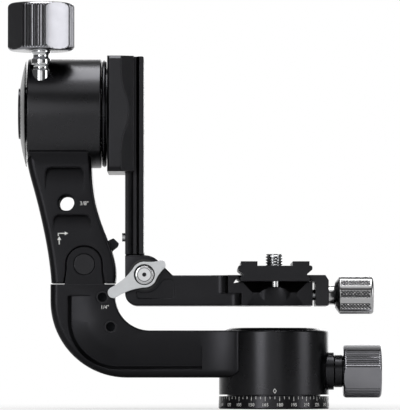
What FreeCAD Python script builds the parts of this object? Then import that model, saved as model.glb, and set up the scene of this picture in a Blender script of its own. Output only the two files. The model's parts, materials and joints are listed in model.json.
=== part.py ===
"""Gimbal tripod head: turning base, J-shaped arm, lifting upper arm, tilt axle, rail and platform.

Millimetres. Origin at the mouth of the tripod thread on the pan axis, +Z up, +X towards the pan lock
knob, -Y towards the side that carries the wing lever.
"""
import FreeCAD, Part
import math
import os

import Sketcher

from FreeCAD import Placement, Rotation, Vector

DRIVING = {
    # turning base and hub
    "base_radius": 30.4, "base_top_radius": 30.1, "base_height": 6.9, "edge_break": 0.6,
    "boss_radius": 25.6, "boss_top": 9.9, "hub_radius": 30.1, "hub_bottom": 7.8, "hub_top": 43.0,
    "hub_edge": 1.4, "cap_foot_radius": 27.0, "cap_radius": 24.2, "cap_top": 44.3,
    "insert_radius": 7.0, "tripod_thread_radius": 3.97,
    "flange_radius": 18.0, "flange_top": 12.9, "seat_radius": 15.0, "drum_radius": 14.0,
    "seat_top": 15.6, "drum_top": 26.0, "neck_radius": 8.0, "neck_top": 34.0, "stud_radius": 6.0,
    "stud_top": 41.0, "running_gap": 0.03, "base_screw_circle": 12.5, "base_screw_radius": 2.0,
    "base_screw_head": 4.0, "base_screw_sink": 2.3,
    "washer_radius": 12.0, "washer_top": 35.3, "nut_top": 40.3, "nut_radius": 10.4,
    "bearing_radius": 20.0, "bearing_foot": 13.0, "upper_bearing_radius": 14.0, "upper_bearing_foot": 27.0,
    # pan lock
    "lock_height": 20.7, "collar_radius": 10.3, "collar_start": 26.0, "collar_end": 32.8,
    "knob_neck_start": 33.0, "knob_neck_radius": 8.9, "knob_start": 37.95, "knob_end": 59.0,
    "knob_radius": 14.7, "knob_rounding": 2.0, "lock_screw_radius": 4.0, "shoe_radius": 4.95,
    "shoe_length": 5.6, "brake_slack": 0.3, "flat_depth": 0.0865, "groove_radius": 0.42, "band_step": 4.9,
    # arms
    "arm_left": 122.4, "arm_right": 87.2, "arm_half": 18.0, "arm_bottom": 17.1, "arm_top": 42.9,
    "shoulder": 68.1, "outer_corner": 41.8, "inner_corner": 19.2, "outer_rounding": 4.2,
    "inner_rounding": 0.9, "recess_left": 113.0, "recess_foot": 21.3, "recess_bend": 27.5,
    "recess_top": 62.0, "recess_end": 39.5, "recess_wall": 2.2, "recess_depth": 3.0, "recess_width": 13.0,
    "flare_start": 40.6, "flare_middle": 27.4, "flare_middle_half": 20.0, "flare_end": 16.6,
    "flare_half": 24.6,
    "fold_x": 103.9, "fold_z": 79.0, "ear_radius": 9.6, "ear_foot": 10.8, "ear_inside": 10.0,
    "ear_outside": 17.4, "ear_gap": 0.7, "pin_radius": 5.0, "pin_cap_radius": 5.9, "pin_cap_depth": 2.0,
    "lift": 27.5, "tongue_half": 9.3, "tongue_half_y": 9.8, "tongue_foot": 42.4, "well_half": 9.7,
    "well_floor": 41.6, "legs": 68.9, "accessory_radius": 2.55, "accessory_depth": 7.5,
    "insert_wall_radius": 3.4, "side_hole_radius": 4.76, "side_hole_x": 113.7, "side_hole_z": 112.6,
    "blend_radius": 12.0, "blend_left": 130.3, "blend_right": 101.8, "latch_x": 90.8, "latch_z": 80.0,
    "latch_pin_radius": 1.25,
    # tilt housing and axle
    "tilt_z": 162.25, "housing_radius": 30.0, "housing_left": 135.0, "housing_right": 94.8,
    "axle_radius": 16.0, "axle_left": 135.6, "flange_left": 94.3, "flange_right": 92.1,
    "axle_flange_radius": 29.4, "clamp_seat": 91.2, "tilt_bearing_radius": 21.0,
    "cap_rim": 136.2, "cap_rim_radius": 29.4, "cap_round": 105.0, "disc_radius": 13.9, "disc_face": 140.3,
    "tilt_lock_x": 127.5, "tilt_lock_y": 19.3, "stem_radius": 5.3, "cotter_radius": 5.45,
    "cotter_bore": 5.5, "tilt_screw_radius": 3.0, "tilt_knob_radius": 18.2, "tilt_knob_foot": 195.5,
    "tilt_knob_top": 221.7, "stem_foot": 175.6, "bead_radius": 4.7,
    # rail clamp and rail
    "clamp_right": 76.7, "clamp_foot": 129.5, "clamp_head": 192.6, "clamp_front": 29.0, "clamp_raise": 1.3,
    "clamp_top_chamfer": 1.6, "clamp_foot_chamfer": 2.4,
    "clamp_split": 16.6, "jaw_back": 27.5, "clamp_axis_x": 85.4, "clamp_knob_radius": 9.6,
    "rail_left": 81.5, "rail_right": 71.4, "rail_foot": 84.5, "rail_head": 192.7, "rail_half": 19.0,
    "rail_neck_half": 16.3, "stop_z": 94.2, "stop_radius": 2.4,
    # platform
    "hinge_x": 70.95, "hinge_z": 73.25, "ear_top": 84.0, "ear_round": 10.6, "bar_top": 73.0,
    "bar_foot": 56.4, "bar_corner": 6.6, "bar_half": 19.0, "bar_end": 20.8, "clevis_half": 10.0,
    "tongue_radius": 9.5, "tongue_y": 9.8, "clevis_radius": 10.2, "head_start": 25.3, "head_half": 25.0,
    "head_step": 63.1, "head_foot_start": 18.0, "bar_edge": 0.9, "channel_floor": 69.3,
    "dovetail_half": 19.0, "notch_half": 17.3, "channel_gap": 0.12, "plate_centre": 0.2,
    "plate_half_length": 35.0, "plate_foot": 69.5, "plate_top": 77.9, "lip_top": 80.3, "lip_inner": 9.6,
    "lip_outer": 18.6, "wing_half": 20.2, "stop_head_foot": 66.5, "camera_screw_radius": 4.76,
    "camera_screw_top": 84.9,
    "jaw_start": 22.4, "jaw_end": 29.6, "jaw_half": 22.0, "screw_z": 62.4, "qr_neck_radius": 5.2,
    "qr_knob_radius": 10.3, "qr_knob_start": 33.5, "m6_radius": 3.0, "camera_relief": 4.1,
    "bolt_radius": 5.0, "lever_face": 24.0, "lever_back": 20.0, "lever_hub": 7.05, "lever_long": 19.6,
    "lever_short": 10.4, "lever_tip": 3.0, "lever_short_tip": 2.65, "bolt_head_radius": 4.9,
}

UP = Vector(0, 0, 1)
RIGHT, LEFT = Vector(1, 0, 0), Vector(-1, 0, 0)
BACK, FRONT = Vector(0, 1, 0), Vector(0, -1, 0)

doc = FreeCAD.newDocument("GimbalHead")
sizes = doc.addObject("Spreadsheet::Sheet", "Sizes")
nodes = []


def fill_sheet():
    """One row per driving dimension: its name, and the number that carries the alias."""
    for row, (alias, number) in enumerate(DRIVING.items(), start=1):
        sizes.set("A%d" % row, alias)
        sizes.set("B%d" % row, str(number))
        sizes.setAlias("B%d" % row, alias)
    doc.recompute()


def is_number(word):
    return word.replace(".", "", 1).isdigit()


def value(formula):
    """The number behind a formula of sheet names and numbers, joined by + and -."""
    total = 0.0
    sign = 1
    for word in str(formula).split():
        if word in ("+", "-"):
            sign = 1 if word == "+" else -1
        elif word.startswith("-"):
            total -= value(word[1:])
        else:
            total += sign * (float(word) if is_number(word) else getattr(sizes, word))
    return total


def bind(target, prop, formula):
    """Bind a property to the sheet."""
    words = [w if w in ("+", "-") or is_number(w.lstrip("-")) else w.replace(w.lstrip("-"), "Sizes."
             + w.lstrip("-")) for w in str(formula).split()]
    target.setExpression(prop, " ".join(words))


def point(start):
    return Vector(*[value(c) for c in start])


def keep(piece, label):
    """Name a finished sub-part, which becomes a node."""
    piece.Label = label
    nodes.append(piece)
    return piece


# ---- shapes ----------------------------------------------------------------------------------------


def bar(name, radius, length, start, axis=UP):
    """A round bar from start along axis."""
    made = doc.addObject("Part::Cylinder", name)
    bind(made, "Radius", radius)
    bind(made, "Height", length)
    made.Placement = Placement(point(start), Rotation(UP, axis))
    return made


def block(name, length, width, height, start):
    """A box from its lowest corner."""
    made = doc.addObject("Part::Box", name)
    bind(made, "Length", length)
    bind(made, "Width", width)
    bind(made, "Height", height)
    made.Placement = Placement(point(start), Rotation())
    return made


def joined(name, pieces):
    made = doc.addObject("Part::MultiFuse", name)
    made.Shapes = pieces
    return made


def cut(name, base, tools):
    """The base without the tools."""
    made = doc.addObject("Part::Cut", name)
    made.Base = base
    made.Tool = tools[0] if len(tools) == 1 else joined(name + "Tools", tools)
    return made


def group(name, pieces):
    """Identical pieces in one node, as separate solids."""
    made = doc.addObject("Part::Compound", name)
    made.Links = pieces
    return made


def turned(name, profile, start=("0", "0", "0"), axis=UP):
    """A lathe-turned piece: a body whose sketch holds the half section as (radius, height) formulas."""
    body = doc.addObject("PartDesign::Body", name)
    sketch = body.newObject("Sketcher::SketchObject", name + "Section")
    plane = [f for f in body.Origin.OriginFeatures if f.Role == "XZ_Plane"][0]
    sketch.AttachmentSupport = (plane, [""])
    sketch.MapMode = "FlatFace"
    corners = [(value(r), value(h)) for r, h in profile]
    count = len(corners)
    for i in range(count):
        a, b = corners[i], corners[(i + 1) % count]
        sketch.addGeometry(Part.LineSegment(Vector(a[0], a[1], 0), Vector(b[0], b[1], 0)), False)
    for i in range(count):
        sketch.addConstraint(Sketcher.Constraint("Coincident", i, 2, (i + 1) % count, 1))
    for i, (radius, height) in enumerate(profile):
        hold(sketch, i, "DistanceX", -2, radius)
        hold(sketch, i, "DistanceY", -1, height)
    turn = body.newObject("PartDesign::Revolution", name + "Turn")
    turn.Profile = sketch
    turn.ReferenceAxis = (sketch, ["V_Axis"])
    turn.Angle = 360
    body.Tip = turn
    body.Placement = Placement(point(start), Rotation(UP, axis))
    return body


def hold(sketch, corner, kind, axis_line, formula):
    """Tie one coordinate of a corner to the sheet, or to the sketch's own axis where it is zero."""
    number = value(formula)
    if abs(number) < 1e-9:
        sketch.addConstraint(Sketcher.Constraint("PointOnObject", corner, 1, axis_line))
        return
    index = sketch.addConstraint(Sketcher.Constraint(kind, -1, 1, corner, 1, number))
    bind(sketch, "Constraints[%d]" % index, formula)


def rounded_wire(corners, to_space):
    """A closed outline of straight runs; a corner with a third value is rounded by that radius."""
    edges = []
    count = len(corners)
    ends = []
    for i in range(count):
        here = Vector(corners[i][0], corners[i][1], 0)
        before = Vector(corners[i - 1][0], corners[i - 1][1], 0)
        after = Vector(corners[(i + 1) % count][0], corners[(i + 1) % count][1], 0)
        radius = corners[i][2] if len(corners[i]) > 2 else 0
        if not radius:
            ends.append((here, here, None))
            continue
        into, out = (before - here).normalize(), (after - here).normalize()
        half = into.getAngle(out) / 2
        reach = radius / math.tan(half)
        middle = here + (into + out).normalize() * (radius / math.sin(half) - radius)
        ends.append((here + into * reach, here + out * reach, middle))
    for i in range(count):
        first, last, middle = ends[i]
        if middle:
            edges.append(Part.Arc(to_space(first), to_space(middle), to_space(last)).toShape())
        following = ends[(i + 1) % count][0]
        if (following - last).Length > 1e-6:
            edges.append(Part.LineSegment(to_space(last), to_space(following)).toShape())
    return Part.Wire(edges)


def front_view(y):
    return lambda p: Vector(p.x, y, p.y)


def plan_view(z):
    return lambda p: Vector(p.x, p.y, z)


def slab(corners, low, high, view="front"):
    """A solid of one outline: in front view from y=low to y=high, or in plan from z=low to z=high."""
    to_space = front_view(low) if view == "front" else plan_view(low)
    away = BACK if view == "front" else UP
    return Part.Face(rounded_wire(corners, to_space)).extrude(away * (high - low))


def shaped(name, shape):
    """A piece whose shape is set from the sheet's sizes."""
    made = doc.addObject("Part::Feature", name)
    made.Shape = shape
    return made


def rod(radius, start, axis, length):
    return Part.makeCylinder(radius, length, Vector(*start), axis)


def rounded_edges(shape, radius, chosen):
    edges = [e for e in shape.Edges if chosen(e)]
    return shape.makeFillet(radius, edges) if edges else shape


# ---- knobs -----------------------------------------------------------------------------------------


def grip(name, radius, length, rounding, first_flat):
    """A knob's grip along +Z from 0: four flats with a band of fine grooves between each two."""
    body = Part.makeCylinder(radius, length)
    body = body.makeFillet(rounding, [e for e in body.Edges if e.Curve.TypeId == "Part::GeomCircle"])
    depth = radius * sizes.flat_depth
    tools = []
    for quarter in range(4):
        turn = first_flat + 90 * quarter
        flat = Part.makeBox(depth * 2, radius * 2, length, Vector(radius - depth, -radius, 0))
        flat.rotate(Vector(0, 0, 0), UP, turn)
        tools.append(flat)
        for step in range(-4, 5):
            angle = math.radians(turn + 45 + step * sizes.band_step)
            at = Vector(math.cos(angle), math.sin(angle), 0) * (radius + 0.12)
            tools.append(Part.makeCylinder(sizes.groove_radius, length - 2 * rounding, at + UP * rounding))
    return shaped(name, body.cut(Part.makeCompound(tools)))


def lock_knob(name, radius, length, rounding, first_flat, neck, bore, start, axis):
    """A grip with a neck at its foot and a blind bore for its screw."""
    made = grip(name + "Grip", radius, length, rounding, first_flat)
    shape = made.Shape.copy()
    if neck:
        shape = shape.fuse(Part.makeCylinder(neck[0], neck[1] + 1.0, Vector(0, 0, -neck[1])))
    foot = -neck[1] if neck else 0.0
    shape = shape.cut(Part.makeCylinder(bore[0], bore[1] - foot, Vector(0, 0, foot)))
    doc.removeObject(made.Name)
    piece = shaped(name, shape.removeSplitter())
    piece.Placement = Placement(Vector(*start), Rotation(UP, axis))
    return piece


def spring(radius, wire, length, turns, start, axis):
    """A coil spring as a swept helix."""
    path = Part.makeHelix(length / turns, length, radius)
    section = Part.Wire(Part.makeCircle(wire, Vector(radius, 0, 0), Vector(0, 1, 0)))
    coil = Part.Wire(path).makePipeShell([section], True, True)
    coil.Placement = Placement(Vector(*start), Rotation(UP, axis))
    return coil


# ---- turning base ----------------------------------------------------------------------------------


def make_base():
    plate = turned("DialPlate", [
        ("insert_radius", "0"), ("base_radius - edge_break", "0"), ("base_radius", "edge_break"),
        ("base_top_radius", "base_height"), ("boss_radius", "base_height"),
        ("boss_radius", "boss_top"), ("insert_radius", "boss_top")])
    holes = []
    screws = []
    spots = [math.radians(45 + 90 * k) for k in range(4)]
    for k, angle in enumerate(spots):
        x = sizes.base_screw_circle * math.cos(angle)
        y = sizes.base_screw_circle * math.sin(angle)
        holes.append(countersunk("BaseHole%d" % k, 12.9, x, y))
        screws.append(countersunk("BaseScrew%d" % k, 12.4, x, y))
    keep(cut("DialPlateCut", plate, holes), "dial_plate")
    heads = [hex_socket("BaseSocket%d" % k, 1.25, 1.4, (sizes.base_screw_circle * math.cos(a),
             sizes.base_screw_circle * math.sin(a), 0.0), UP) for k, a in enumerate(spots)]
    screws = [cut("BaseScrewCut%d" % k, s, [heads[k]]) for k, s in enumerate(screws)]
    keep(group("BaseScrews", screws), "base_screws")
    keep(turned("ThreadInsert", [
        ("tripod_thread_radius", "0"), ("insert_radius", "0"), ("insert_radius", "boss_top"),
        ("tripod_thread_radius", "boss_top")]), "thread_insert")
    spindle = turned("PanSpindle", [
        ("0", "boss_top"), ("flange_radius", "boss_top"), ("flange_radius", "flange_top"),
        ("seat_radius", "flange_top"), ("seat_radius", "seat_top"), ("drum_radius", "seat_top"),
        ("drum_radius", "drum_top"),
        ("neck_radius", "drum_top"), ("neck_radius", "neck_top"), ("stud_radius", "neck_top"),
        ("stud_radius", "stud_top"), ("0", "stud_top")])
    taps = [bar("SpindleTap%d" % k, "base_screw_radius", "3",
                (str(round(sizes.base_screw_circle * math.cos(a), 4)),
                 str(round(sizes.base_screw_circle * math.sin(a), 4)), "boss_top"))
            for k, a in enumerate(spots)]
    keep(cut("PanSpindleCut", spindle, taps), "pan_spindle")
    keep(turned("PanWasher", [
        ("stud_radius", "neck_top"), ("washer_radius", "neck_top"), ("washer_radius", "washer_top"),
        ("stud_radius", "washer_top")]), "pan_washer")
    keep(hex_nut("PanNut", sizes.nut_radius, sizes.stud_radius, sizes.nut_top - sizes.washer_top,
                 (0, 0, sizes.washer_top), UP), "pan_nut")


def countersunk(name, length, x, y):
    """A countersunk shape, head down and flush with the plate's foot."""
    s = sizes
    foot = Vector(x, y, 0)
    shank = Part.makeCylinder(s.base_screw_radius, length, foot)
    cone = Part.makeCone(s.base_screw_head, s.base_screw_radius, s.base_screw_sink, foot)
    return shaped(name, shank.fuse(cone))


def hexagon(radius, start, axis, length):
    """A six-sided bar, radius to its corners."""
    ring = [Vector(radius * math.cos(math.radians(60 * k)), radius * math.sin(math.radians(60 * k)), 0)
            for k in range(7)]
    shape = Part.Face(Part.makePolygon(ring)).extrude(UP * length)
    shape.Placement = Placement(Vector(*start), Rotation(UP, axis))
    return shape


def hex_socket(name, radius, depth, start, axis):
    return shaped(name, hexagon(radius, start, axis, depth))


def hex_nut(name, radius, bore, height, start, axis):
    body = hexagon(radius, start, axis, height)
    return shaped(name, body.cut(rod(bore, start, axis, height)))


def ring(name, inner, outer, foot, top, start=("0", "0", "0"), axis=UP):
    return turned(name, [(inner, foot), (outer, foot), (outer, top), (inner, top)], start, axis)


# ---- lower arm -------------------------------------------------------------------------------------


def hub_shape():
    hub = rod(sizes.hub_radius, (0, 0, sizes.hub_bottom), UP, sizes.hub_top - sizes.hub_bottom)
    return rounded_edges(hub, sizes.hub_edge, lambda e: len(e.Vertexes) == 1 and e.CenterOfMass.z > 40)


def plan_wire(points, z):
    """A closed plan outline; a run of three points in brackets is an arc."""
    edges = []
    last = None
    first = None
    for item in points:
        spots = item if isinstance(item, list) else [item]
        run = [Vector(x, y, z) for x, y in spots]
        if last is not None and (run[0] - last).Length > 1e-6:
            edges.append(Part.LineSegment(last, run[0]).toShape())
        if len(run) == 3:
            edges.append(Part.Arc(*run).toShape())
        first = first or run[0]
        last = run[-1]
    edges.append(Part.LineSegment(last, first).toShape())
    return Part.Wire(edges)


def arm_shape():
    """The J in front view, met by its plan: straight, then widening in hollow sweeps up to the hub."""
    s = sizes
    outline = [(0, s.arm_bottom), (-s.arm_left, s.arm_bottom, s.outer_corner), (-s.arm_left, s.shoulder),
               (-s.arm_right, s.shoulder), (-s.arm_right, s.arm_top, s.inner_corner), (0, s.arm_top)]
    half = s.arm_half
    sweep = [(-s.flare_start, half), (-s.flare_middle, s.flare_middle_half), (-s.flare_end, s.flare_half)]
    mirrored = [(x, -y) for x, y in reversed(sweep)]
    plan = [(-s.arm_left - 1, half), sweep, (0, 0), mirrored, (-s.arm_left - 1, -half)]
    flat = Part.Face(plan_wire(plan, s.arm_bottom - 1)).extrude(UP * (s.shoulder - s.arm_bottom + 2))
    arm = slab(outline, -s.flare_half - 1, s.flare_half + 1).common(flat)
    rim = half - 0.01

    def upright(e):
        return e.BoundBox.ZLength > 5 and e.BoundBox.XLength < 0.5 and e.CenterOfMass.x > -60

    def outer(e):
        c = e.CenterOfMass
        return abs(c.y) > rim and (c.x < -100 or c.z < 27) and c.z < s.shoulder - 1 and not upright(e)

    def inner(e):
        c = e.CenterOfMass
        return abs(c.y) > rim and -100 < c.x < -17 and 40 < c.z < s.shoulder - 1 and not upright(e)

    arm = rounded_edges(arm, s.outer_rounding, outer)
    return rounded_edges(arm, s.inner_rounding, inner)


def ear_outline(grow, foot):
    """A rounded tab about the fold pin, wider at its foot; grow widens it for the matching recess."""
    s = sizes
    r = s.ear_radius + grow
    top = s.fold_z + r
    left, right = -s.fold_x - r, -s.fold_x + r
    spread = s.ear_foot - s.ear_radius
    return [(left - spread, foot), (left, s.fold_z - 3), (left, top, r - 0.01), (right, top, r - 0.01),
            (right, s.fold_z - 3), (right + spread, foot)]


def arm_pocket(side):
    """The recess that follows the bend: a slanting wall on its outer side, and a floor that ramps out."""
    s = sizes
    face = side * s.arm_half
    over, reach = side * (s.arm_half + 1), s.recess_width + 0.01
    section = [(-s.recess_wall / 2, over), (0, face), (s.recess_wall, face - side * s.recess_depth),
               (reach, face), (reach, over)]
    upright = [Vector(-s.recess_left + u, y, s.recess_foot + s.recess_bend) for u, y in section]
    level = [Vector(-s.recess_left + s.recess_bend, y, s.recess_foot + u) for u, y in section]
    rise = Part.Face(Part.makePolygon(upright + upright[:1]))
    run = Part.Face(Part.makePolygon(level + level[:1]))
    centre = Vector(-s.recess_left + s.recess_bend, 0, s.recess_foot + s.recess_bend)
    tool = rise.revolve(centre, FRONT, 90)
    tool = tool.fuse([rise.extrude(UP * (s.recess_top - s.recess_foot - s.recess_bend)),
                      run.extrude(RIGHT * (s.recess_left - s.recess_bend - s.recess_end))])
    far = s.recess_left + 3
    ends = [(-far, s.recess_top, 5.5), (-far, s.recess_foot - 3), (-s.recess_end, s.recess_foot - 3, 4.5),
            (-s.recess_end, s.recess_top)]
    low, high = sorted((side * (s.arm_half - 5), side * (s.arm_half + 2)))
    return tool.common(slab(ends, low, high))


def make_lower_arm():
    s = sizes
    hub = hub_shape()
    ears = [slab(ear_outline(0, s.shoulder - 1), -s.ear_outside, -s.ear_inside),
            slab(ear_outline(0, s.shoulder - 1), s.ear_inside, s.ear_outside)]
    arm = arm_shape().fuse(ears).removeSplitter()
    # the hub's stepped bore: boss clearance, bearing seat, drum clearance, ledge, upper seat
    steps = [(s.boss_radius + 0.1, s.hub_bottom - 1, s.boss_top + 0.3),
             (s.bearing_radius, s.boss_top, s.seat_top + 0.1),
             (s.drum_radius + 0.4, s.seat_top, s.drum_top + 0.3),
             (s.neck_radius + 0.6, s.drum_top, s.upper_bearing_foot),
             (s.upper_bearing_radius, s.upper_bearing_foot, s.hub_top + 1)]
    bores = [rod(r, (0, 0, low), UP, high - low) for r, low, high in steps]
    bores.append(rod(s.shoe_radius + 0.05, (0, 0, s.lock_height), RIGHT, s.collar_start))
    bores.append(rod(s.collar_radius, (s.collar_start, 0, s.lock_height), RIGHT, 10))
    keep(shaped("PanHub", hub.cut(bores).removeSplitter()), "pan_hub")

    well = Part.makeBox(2 * s.well_half, 2 * s.ear_inside, s.shoulder - s.well_floor + 1,
                        Vector(-s.fold_x - s.well_half, -s.ear_inside, s.well_floor))
    tools = [hub, well, rod(s.pin_radius, (-s.fold_x, -s.arm_half, s.fold_z), BACK, 2 * s.arm_half)]
    for side in (-1, 1):
        start = (-s.fold_x, side * (s.ear_outside - s.pin_cap_depth), s.fold_z)
        tools.append(rod(s.pin_cap_radius, start, Vector(0, side, 0), s.pin_cap_depth + 1))
        tools.append(arm_pocket(side))
    inserts = []
    for x, z in ((-93.9, 61.0), (-89.4, 44.9)):
        mouth = (x, -s.arm_half, z)
        tools.append(rod(s.insert_wall_radius, mouth, BACK, s.accessory_depth))
        bush = rod(s.insert_wall_radius, mouth, BACK, s.accessory_depth)
        inserts.append(bush.cut(rod(s.accessory_radius, mouth, BACK, s.accessory_depth)))
    keep(shaped("LowerArm", arm.cut(tools).removeSplitter()), "lower_arm")
    keep(shaped("AccessoryInserts", Part.makeCompound(inserts)), "accessory_inserts")

    keep(turned("TopCap", [
        ("0", "hub_top - 1.5"), ("upper_bearing_radius", "hub_top - 1.5"),
        ("upper_bearing_radius", "hub_top"), ("cap_foot_radius", "hub_top"), ("cap_radius", "cap_top"),
        ("0", "cap_top")]), "top_cap")
    keep(ring("PanBearingLower", "seat_radius + running_gap", "bearing_radius", "bearing_foot", "seat_top"),
         "pan_bearing_lower")
    keep(ring("PanBearingUpper", "neck_radius + running_gap", "upper_bearing_radius", "upper_bearing_foot",
              "neck_top - 0.1"), "pan_bearing_upper")
    keep(ring("PanLockCollar", "lock_screw_radius + 0.05", "collar_radius", "collar_start", "collar_end",
              ("0", "0", "lock_height"), RIGHT), "pan_lock_collar")
    inset = "ear_outside - pin_cap_depth"
    pin = bar("FoldPin", "pin_radius", "ear_outside + ear_outside - pin_cap_depth - pin_cap_depth",
              ("-fold_x", "pin_cap_depth - ear_outside", "fold_z"), BACK)
    keep(pin, "fold_pin")
    profile = [("0", "0"), ("pin_cap_radius", "0"), ("pin_cap_radius", "pin_cap_depth - 0.4"),
               ("pin_cap_radius - 0.4", "pin_cap_depth"), ("0", "pin_cap_depth")]
    caps = [turned("FoldPinCap0", profile, ("-fold_x", inset, "fold_z"), BACK),
            turned("FoldPinCap1", profile, ("-fold_x", "pin_cap_depth - ear_outside", "fold_z"), FRONT)]
    keep(group("FoldPinCaps", caps), "fold_pin_caps")


def make_pan_lock():
    s = sizes
    neck = (s.knob_neck_radius, s.knob_start - s.knob_neck_start)
    keep(lock_knob("PanKnob", s.knob_radius, s.knob_end - s.knob_start, s.knob_rounding, 16.0, neck,
                   (s.lock_screw_radius, 8.0), (s.knob_start, 0, s.lock_height), RIGHT), "pan_knob")
    keep(bar("PanLockScrew", "lock_screw_radius", "knob_start + 8 - drum_radius - shoe_length",
             ("drum_radius + shoe_length", "0", "lock_height"), RIGHT), "pan_lock_screw")
    shoe = rod(s.shoe_radius, (s.drum_radius - 0.6, 0, s.lock_height), RIGHT, s.shoe_length + 0.5)
    drum = rod(s.drum_radius + 0.05, (s.brake_slack, 0, s.seat_top), UP, s.drum_top - s.seat_top)
    keep(shaped("PanBrakeShoe", shoe.cut(drum)), "pan_brake_shoe")


# ---- upper arm -------------------------------------------------------------------------------------


def upper_outline():
    """The upper arm in front view, between its feet and the tilt housing."""
    s = sizes
    left = [Vector(-121.9, 0, s.legs), Vector(-123.3, 0, 82.1), Vector(-126.8, 0, 101.0),
            Vector(-131.7, 0, 120.7), Vector(-134.9, 0, 133.5), Vector(-135.0, 0, 147.0)]
    right = [Vector(-100.4, 0, 147.0), Vector(-100.0, 0, 133.5), Vector(-98.0, 0, 113.7),
             Vector(-93.1, 0, 97.5), Vector(-87.2, 0, 80.0), Vector(-87.0, 0, s.legs)]
    sides = []
    for run in (left, right):
        curve = Part.BSplineCurve()
        curve.interpolate(run)
        sides.append(curve.toShape())
    top = Part.LineSegment(left[-1], right[0]).toShape()
    foot = Part.LineSegment(right[-1], left[0]).toShape()
    return Part.Wire([sides[0], top, sides[1], foot])


def saddle_blend(side):
    """The hollow blend between the arm's face and the round housing above it."""
    s = sizes
    radius = s.blend_radius
    middle_y = s.arm_half + radius
    middle_z = s.tilt_z - math.sqrt((s.housing_radius + radius) ** 2 - middle_y ** 2)
    share = s.housing_radius / (s.housing_radius + radius)
    touch_y, touch_z = middle_y * share, s.tilt_z + (middle_z - s.tilt_z) * share
    low = min(side * touch_y, side * (s.arm_half - 1))
    edge = [(-s.blend_left, middle_z), (-s.blend_left, 134.7), (-134.1, 139.5), (-134.1, touch_z),
            (-s.blend_right, touch_z), (-s.blend_right, middle_z)]
    body = slab(edge, low, low + touch_y - s.arm_half + 1)
    return body.cut(rod(radius, (-150, side * middle_y, middle_z), RIGHT, 60))


def scoop(left, right, top, foot, depth, side):
    """A recess in the face, deep at its top and running out downwards."""
    s = sizes
    outline = [(left, foot), (left, top, 3.3), (right, top, 3.3), (right, foot)]
    low, high = (-s.arm_half - 2, -s.arm_half + depth) if side < 0 else (s.arm_half - depth, s.arm_half + 2)
    tool = slab(outline, low, high)
    ramp = Part.makePolygon([Vector(left - 1, side * (s.arm_half - depth - 0.01), top + 1),
                             Vector(left - 1, side * (s.arm_half + 2), top + 1),
                             Vector(left - 1, side * (s.arm_half + 2), foot),
                             Vector(left - 1, side * s.arm_half, foot),
                             Vector(left - 1, side * (s.arm_half - depth - 0.01), top + 1)])
    return tool.common(Part.Face(ramp).extrude(RIGHT * (right - left + 2)))


def make_upper_arm():
    s = sizes
    outline = Part.Face(upper_outline())
    arm = outline.extrude(BACK * (2 * s.arm_half))
    arm.translate(Vector(0, -s.arm_half, 0))
    sides = [e for e in arm.Edges if abs(e.CenterOfMass.y) > s.arm_half - 0.01 and e.Length > 30]
    lefts = [e.CenterOfMass for e in sides if e.CenterOfMass.x < -118]
    rights = [e.CenterOfMass for e in sides if e.CenterOfMass.x > -105]
    for radius, spots in ((4.0, lefts), (1.8, rights)):
        arm = rounded_edges(arm, radius, lambda e: any((e.CenterOfMass - c).Length < 0.5 for c in spots))
    housing = rod(s.housing_radius, (-s.housing_left, 0, s.tilt_z), RIGHT, s.housing_left - s.housing_right)
    housing = rounded_edges(housing, 0.8, lambda e: len(e.Vertexes) == 1)
    tongue = Part.makeBox(2 * s.tongue_half, 2 * s.tongue_half_y, s.legs - s.tongue_foot + 1,
                          Vector(-s.fold_x - s.tongue_half, -s.tongue_half_y, s.tongue_foot))
    blends = [saddle_blend(side) for side in (-1, 1)]
    shape = arm.fuse([tongue] + blends).removeSplitter()

    grow = s.ear_gap
    recesses = [slab(ear_outline(grow, s.legs - 1), -s.arm_half - 1, -s.tongue_half_y),
                slab(ear_outline(grow, s.legs - 1), s.tongue_half_y, s.arm_half + 1)]
    slot = [(-s.fold_x - s.pin_radius - 0.1, s.fold_z - s.lift - 5.1, 5.09),
            (-s.fold_x - s.pin_radius - 0.1, s.fold_z + 5.1, 5.09),
            (-s.fold_x + s.pin_radius + 0.1, s.fold_z + 5.1, 5.09),
            (-s.fold_x + s.pin_radius + 0.1, s.fold_z - s.lift - 5.1, 5.09)]
    tools = recesses + [slab(slot, -12, 12)]
    for side in (-1, 1):
        tools.append(scoop(-125.2, -104.0, 132.3, 119.8, 4.0, side))
        tools.append(scoop(-120.8, -100.2, 106.3, 97.2, 3.2, side))
    tools.append(rod(s.side_hole_radius, (-s.side_hole_x, -20, s.side_hole_z), BACK, 40))
    tools.append(rod(s.housing_radius, (-s.housing_left - 5, 0, s.tilt_z), RIGHT, 50))
    # the tilt bore: drum clearance, two bearing seats and the space between them
    steps = [(s.axle_radius + 0.4, -s.housing_left - 1, -121.4),
             (s.tilt_bearing_radius, -121.5, -s.housing_right + 1)]
    bores = [rod(r, (low, 0, s.tilt_z), RIGHT, high - low) for r, low, high in steps]
    bores.append(rod(s.cotter_bore, (-s.tilt_lock_x, -s.tilt_lock_y, 147.0), UP, 60))
    keep(shaped("TiltHousing", housing.cut(bores).removeSplitter()), "tilt_housing")
    # the latch's slot in the right edge, and the hole of its pin, blind at the front
    tools.append(Part.makeBox(10.4, 6.4, 30.0, Vector(-95.0, -3.2, 67.0)))
    tools.append(rod(s.latch_pin_radius, (-s.latch_x, -8.0, s.latch_z), BACK, s.arm_half + 9.0))
    keep(shaped("UpperArm", shape.cut(tools).removeSplitter()), "upper_arm")

    for title, left, label in (("TiltBearingLeft", "-121.5", "tilt_bearing_left"),
                               ("TiltBearingRight", "-102", "tilt_bearing_right")):
        keep(ring(title, "axle_radius + running_gap", "tilt_bearing_radius", "0", "6",
                  (left, "0", "tilt_z"), RIGHT), label)


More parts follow.
